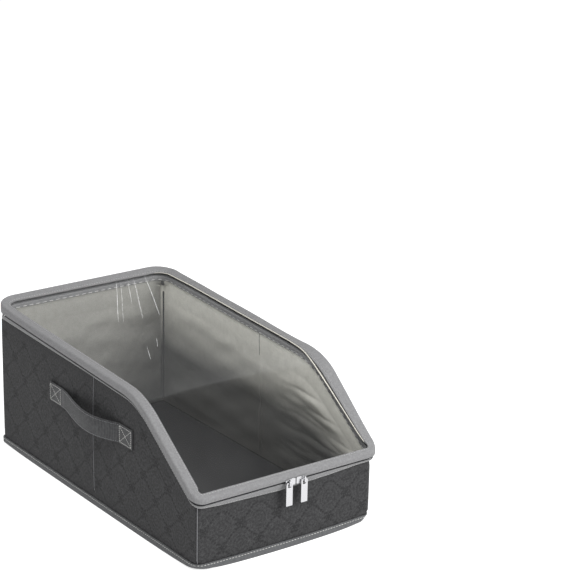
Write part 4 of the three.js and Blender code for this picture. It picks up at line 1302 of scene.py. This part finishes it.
def strapLine(share, side):
    # the strap's middle line: flat on the wall at both ends, and between them a half wave that
    # peaks towards the front
    patch = strap["patch"] / strap["length"]
    free = np.clip((share - patch) / (1 - 2 * patch), 0, 1)
    out = np.sin(math.pi * free ** (math.log(0.5) / math.log(strap["peak"]))) ** strap["ease"]
    out = np.where((free > 0) & (free < 1), out, 0)
    y = strap["fromFront"] - halfDepth + share * strap["length"]
    z = strap["height"] - strap["drop"] * out
    tall = zipLine(y)[0] - case["floorTop"]
    bow = walls["sideBow"] * fromTable((strap["height"] - case["floorTop"]) / tall, "side")
    wall = halfWidth + bow * np.sin(math.pi * (y + halfDepth) / case["depth"])
    x = wall + 0.3 + strap["thick"] / 2 + strap["bow"] * out
    return np.stack([side * x, y, z], -1), free


def strapFacing(line, side):
    # level, and square to the strap's line
    heading = np.gradient(line, axis=0)
    heading[:, 2] = 0
    heading /= np.linalg.norm(heading, axis=-1, keepdims=True)
    return side * np.stack([heading[:, 1], -heading[:, 0], 0 * heading[:, 0]], -1)


def makeHandle(name, node, side):
    middle, free = strapLine(np.linspace(0, 1, 365), side)
    outward = strapFacing(middle, side)
    far = runLength(middle)
    loose = np.clip(np.minimum(free, 1 - free) * 12, 0, 1)
    half, thin = strap["width"] / 2, strap["thick"] / 2
    w = np.concatenate([np.linspace(-half, half, 19), np.linspace(half, -half, 19)])
    edge = np.clip((half - np.abs(w)) / 1.2, 0, 1)
    t = np.repeat([thin, -thin], 19) * (0.45 + 0.55 * np.sqrt(edge))
    rib = np.cos(2 * math.pi * far / strap["ribPitch"])[:, None] * strap["ribDepth"] / 2
    rib = rib * loose[:, None] * (np.abs(w) < half - 2.5)[None]
    cup = loose[:, None] * strap["cup"] * ((1 - (w / half) ** 2)[None] - 0.5)
    off = t[None] + np.sign(t)[None] * rib * 0.9 + cup
    rings = middle[:, None] + outward[:, None] * off[..., None]
    rings[..., 2] += w[None]
    dressed(sweptPiece(name, rings, False, webbingFinish), "case", "webbing", node)

    def row(fromShare, toShare, fromW, toW, flat=False):
        # a row of stitches on the strap's face; on a flat part it may run across the strap
        line = strapLine(np.linspace(fromShare, toShare, 60), side)[0]
        face = strapFacing(line, side)
        line = line + face * (thin + 0.1)
        line[:, 2] += np.linspace(fromW, toW, 60)
        return line, np.tile([side, 0.0, 0.0], (60, 1)) if flat else face, False

    near, wide = strap["patchInset"] / strap["length"], half - strap["boxInset"]
    patch = strap["patch"] / strap["length"] - near
    rows = []
    for low, high in ((near, patch), (1 - patch, 1 - near)):
        rows += [row(low, high, w, w, True) for w in (-wide, wide)]
        rows += [row(at, at + 1e-4, -wide, wide, True) for at in (low, high)]
        rows += [row(low, high, w, -w, True) for w in (-wide, wide)]
    threads = stitches(name + "Stitches", rows, boxStitch, lightThread)
    dressed(threads, "case", "webbing")
    wide = half - strap["edgeInset"]
    rows = [row(patch + near, 1 - patch - near, w, w) for w in (-wide, wide)]
    threads = stitches(name + "EdgeStitches", rows, edgeStitch, seamCord)
    dressed(threads, "case", "webbing")


makeHandle("handleLeftStrap", "handle_left", -1)
makeHandle("handleRightStrap", "handle_right", 1)
print("handles made")


studio = {
    "floor": ("#bababa", "#bebebe"),
    "floorGlow": 0.8,
    "floorSize": 30,
    "world": 0.32,
    # place, size and power
    "keyLight": ((1.0, -1.9, 1.4), 1.5, 60.0),
    "topLight": ((-0.55, -0.35, 2.3), 2.0, 48.0),
}


def makeStudio():
    # a light table: the sheet glows a little from below, which takes the shadows out of it
    stops = list(zip((0.2, 0.8), studio["floor"]))
    values = {
        "Roughness": 0.85,
        "Emission Color": (1, 1, 1, 1),
        "Emission Strength": studio["floorGlow"],
    }
    bpy.ops.mesh.primitive_plane_add(size=studio["floorSize"], location=(0, 0, 0))
    floor = bpy.context.object
    floor.name = "studioFloor"
    floor.data.materials.append(toned("pale studio floor", values, 400.0, stops))

    world = bpy.data.worlds.new("studio")
    bpy.context.scene.world = world
    world.use_nodes = True
    background = world.node_tree.nodes["Background"].inputs
    background["Color"].default_value = (1, 1, 1, 1)
    background["Strength"].default_value = studio["world"]
    bpy.context.scene.view_settings.view_transform = "Standard"

    for name in ("keyLight", "topLight"):
        place, size, power = studio[name]
        lamp = bpy.data.lights.new(name, "AREA")
        lamp.shape = "SQUARE"
        lamp.size = size
        lamp.energy = power
        holder = bpy.data.objects.new(name, lamp)
        bpy.context.scene.collection.objects.link(holder)
        holder.location = place
        aim = Vector((0, 0, 0.08)) - Vector(place)
        holder.rotation_euler = aim.to_track_quat("-Z", "Y").to_euler()


def makeCamera():
    view = {
        "place": (-1218.08, -1851.36, 997.10),
        "azimuth": -36.62,
        "elevation": 18.72,
        "roll": 1.235,
        "lens": 125.0,
    }
    azimuth, elevation = math.radians(view["azimuth"]), math.radians(view["elevation"])
    back = Vector((
        math.sin(azimuth) * math.cos(elevation),
        -math.cos(azimuth) * math.cos(elevation),
        math.sin(elevation),
    ))
    right = (-back).cross(Vector((0, 0, 1))).normalized()
    up = right.cross(-back)
    roll = math.radians(view["roll"])
    right, up = (
        right * math.cos(roll) + up * math.sin(roll),
        up * math.cos(roll) - right * math.sin(roll),
    )
    camera = bpy.data.objects.new("camera", bpy.data.cameras.new("camera"))
    bpy.context.scene.collection.objects.link(camera)
    turned = Matrix((right, up, back)).transposed().to_4x4()
    camera.matrix_world = Matrix.Translation(Vector(view["place"]) * mm) @ turned
    camera.data.lens = view["lens"]
    camera.data.sensor_width = 36.0
    camera.data.clip_start = 0.05
    camera.data.clip_end = 60.0
    bpy.context.scene.camera = camera


makeStudio()
makeCamera()
print("studio made")
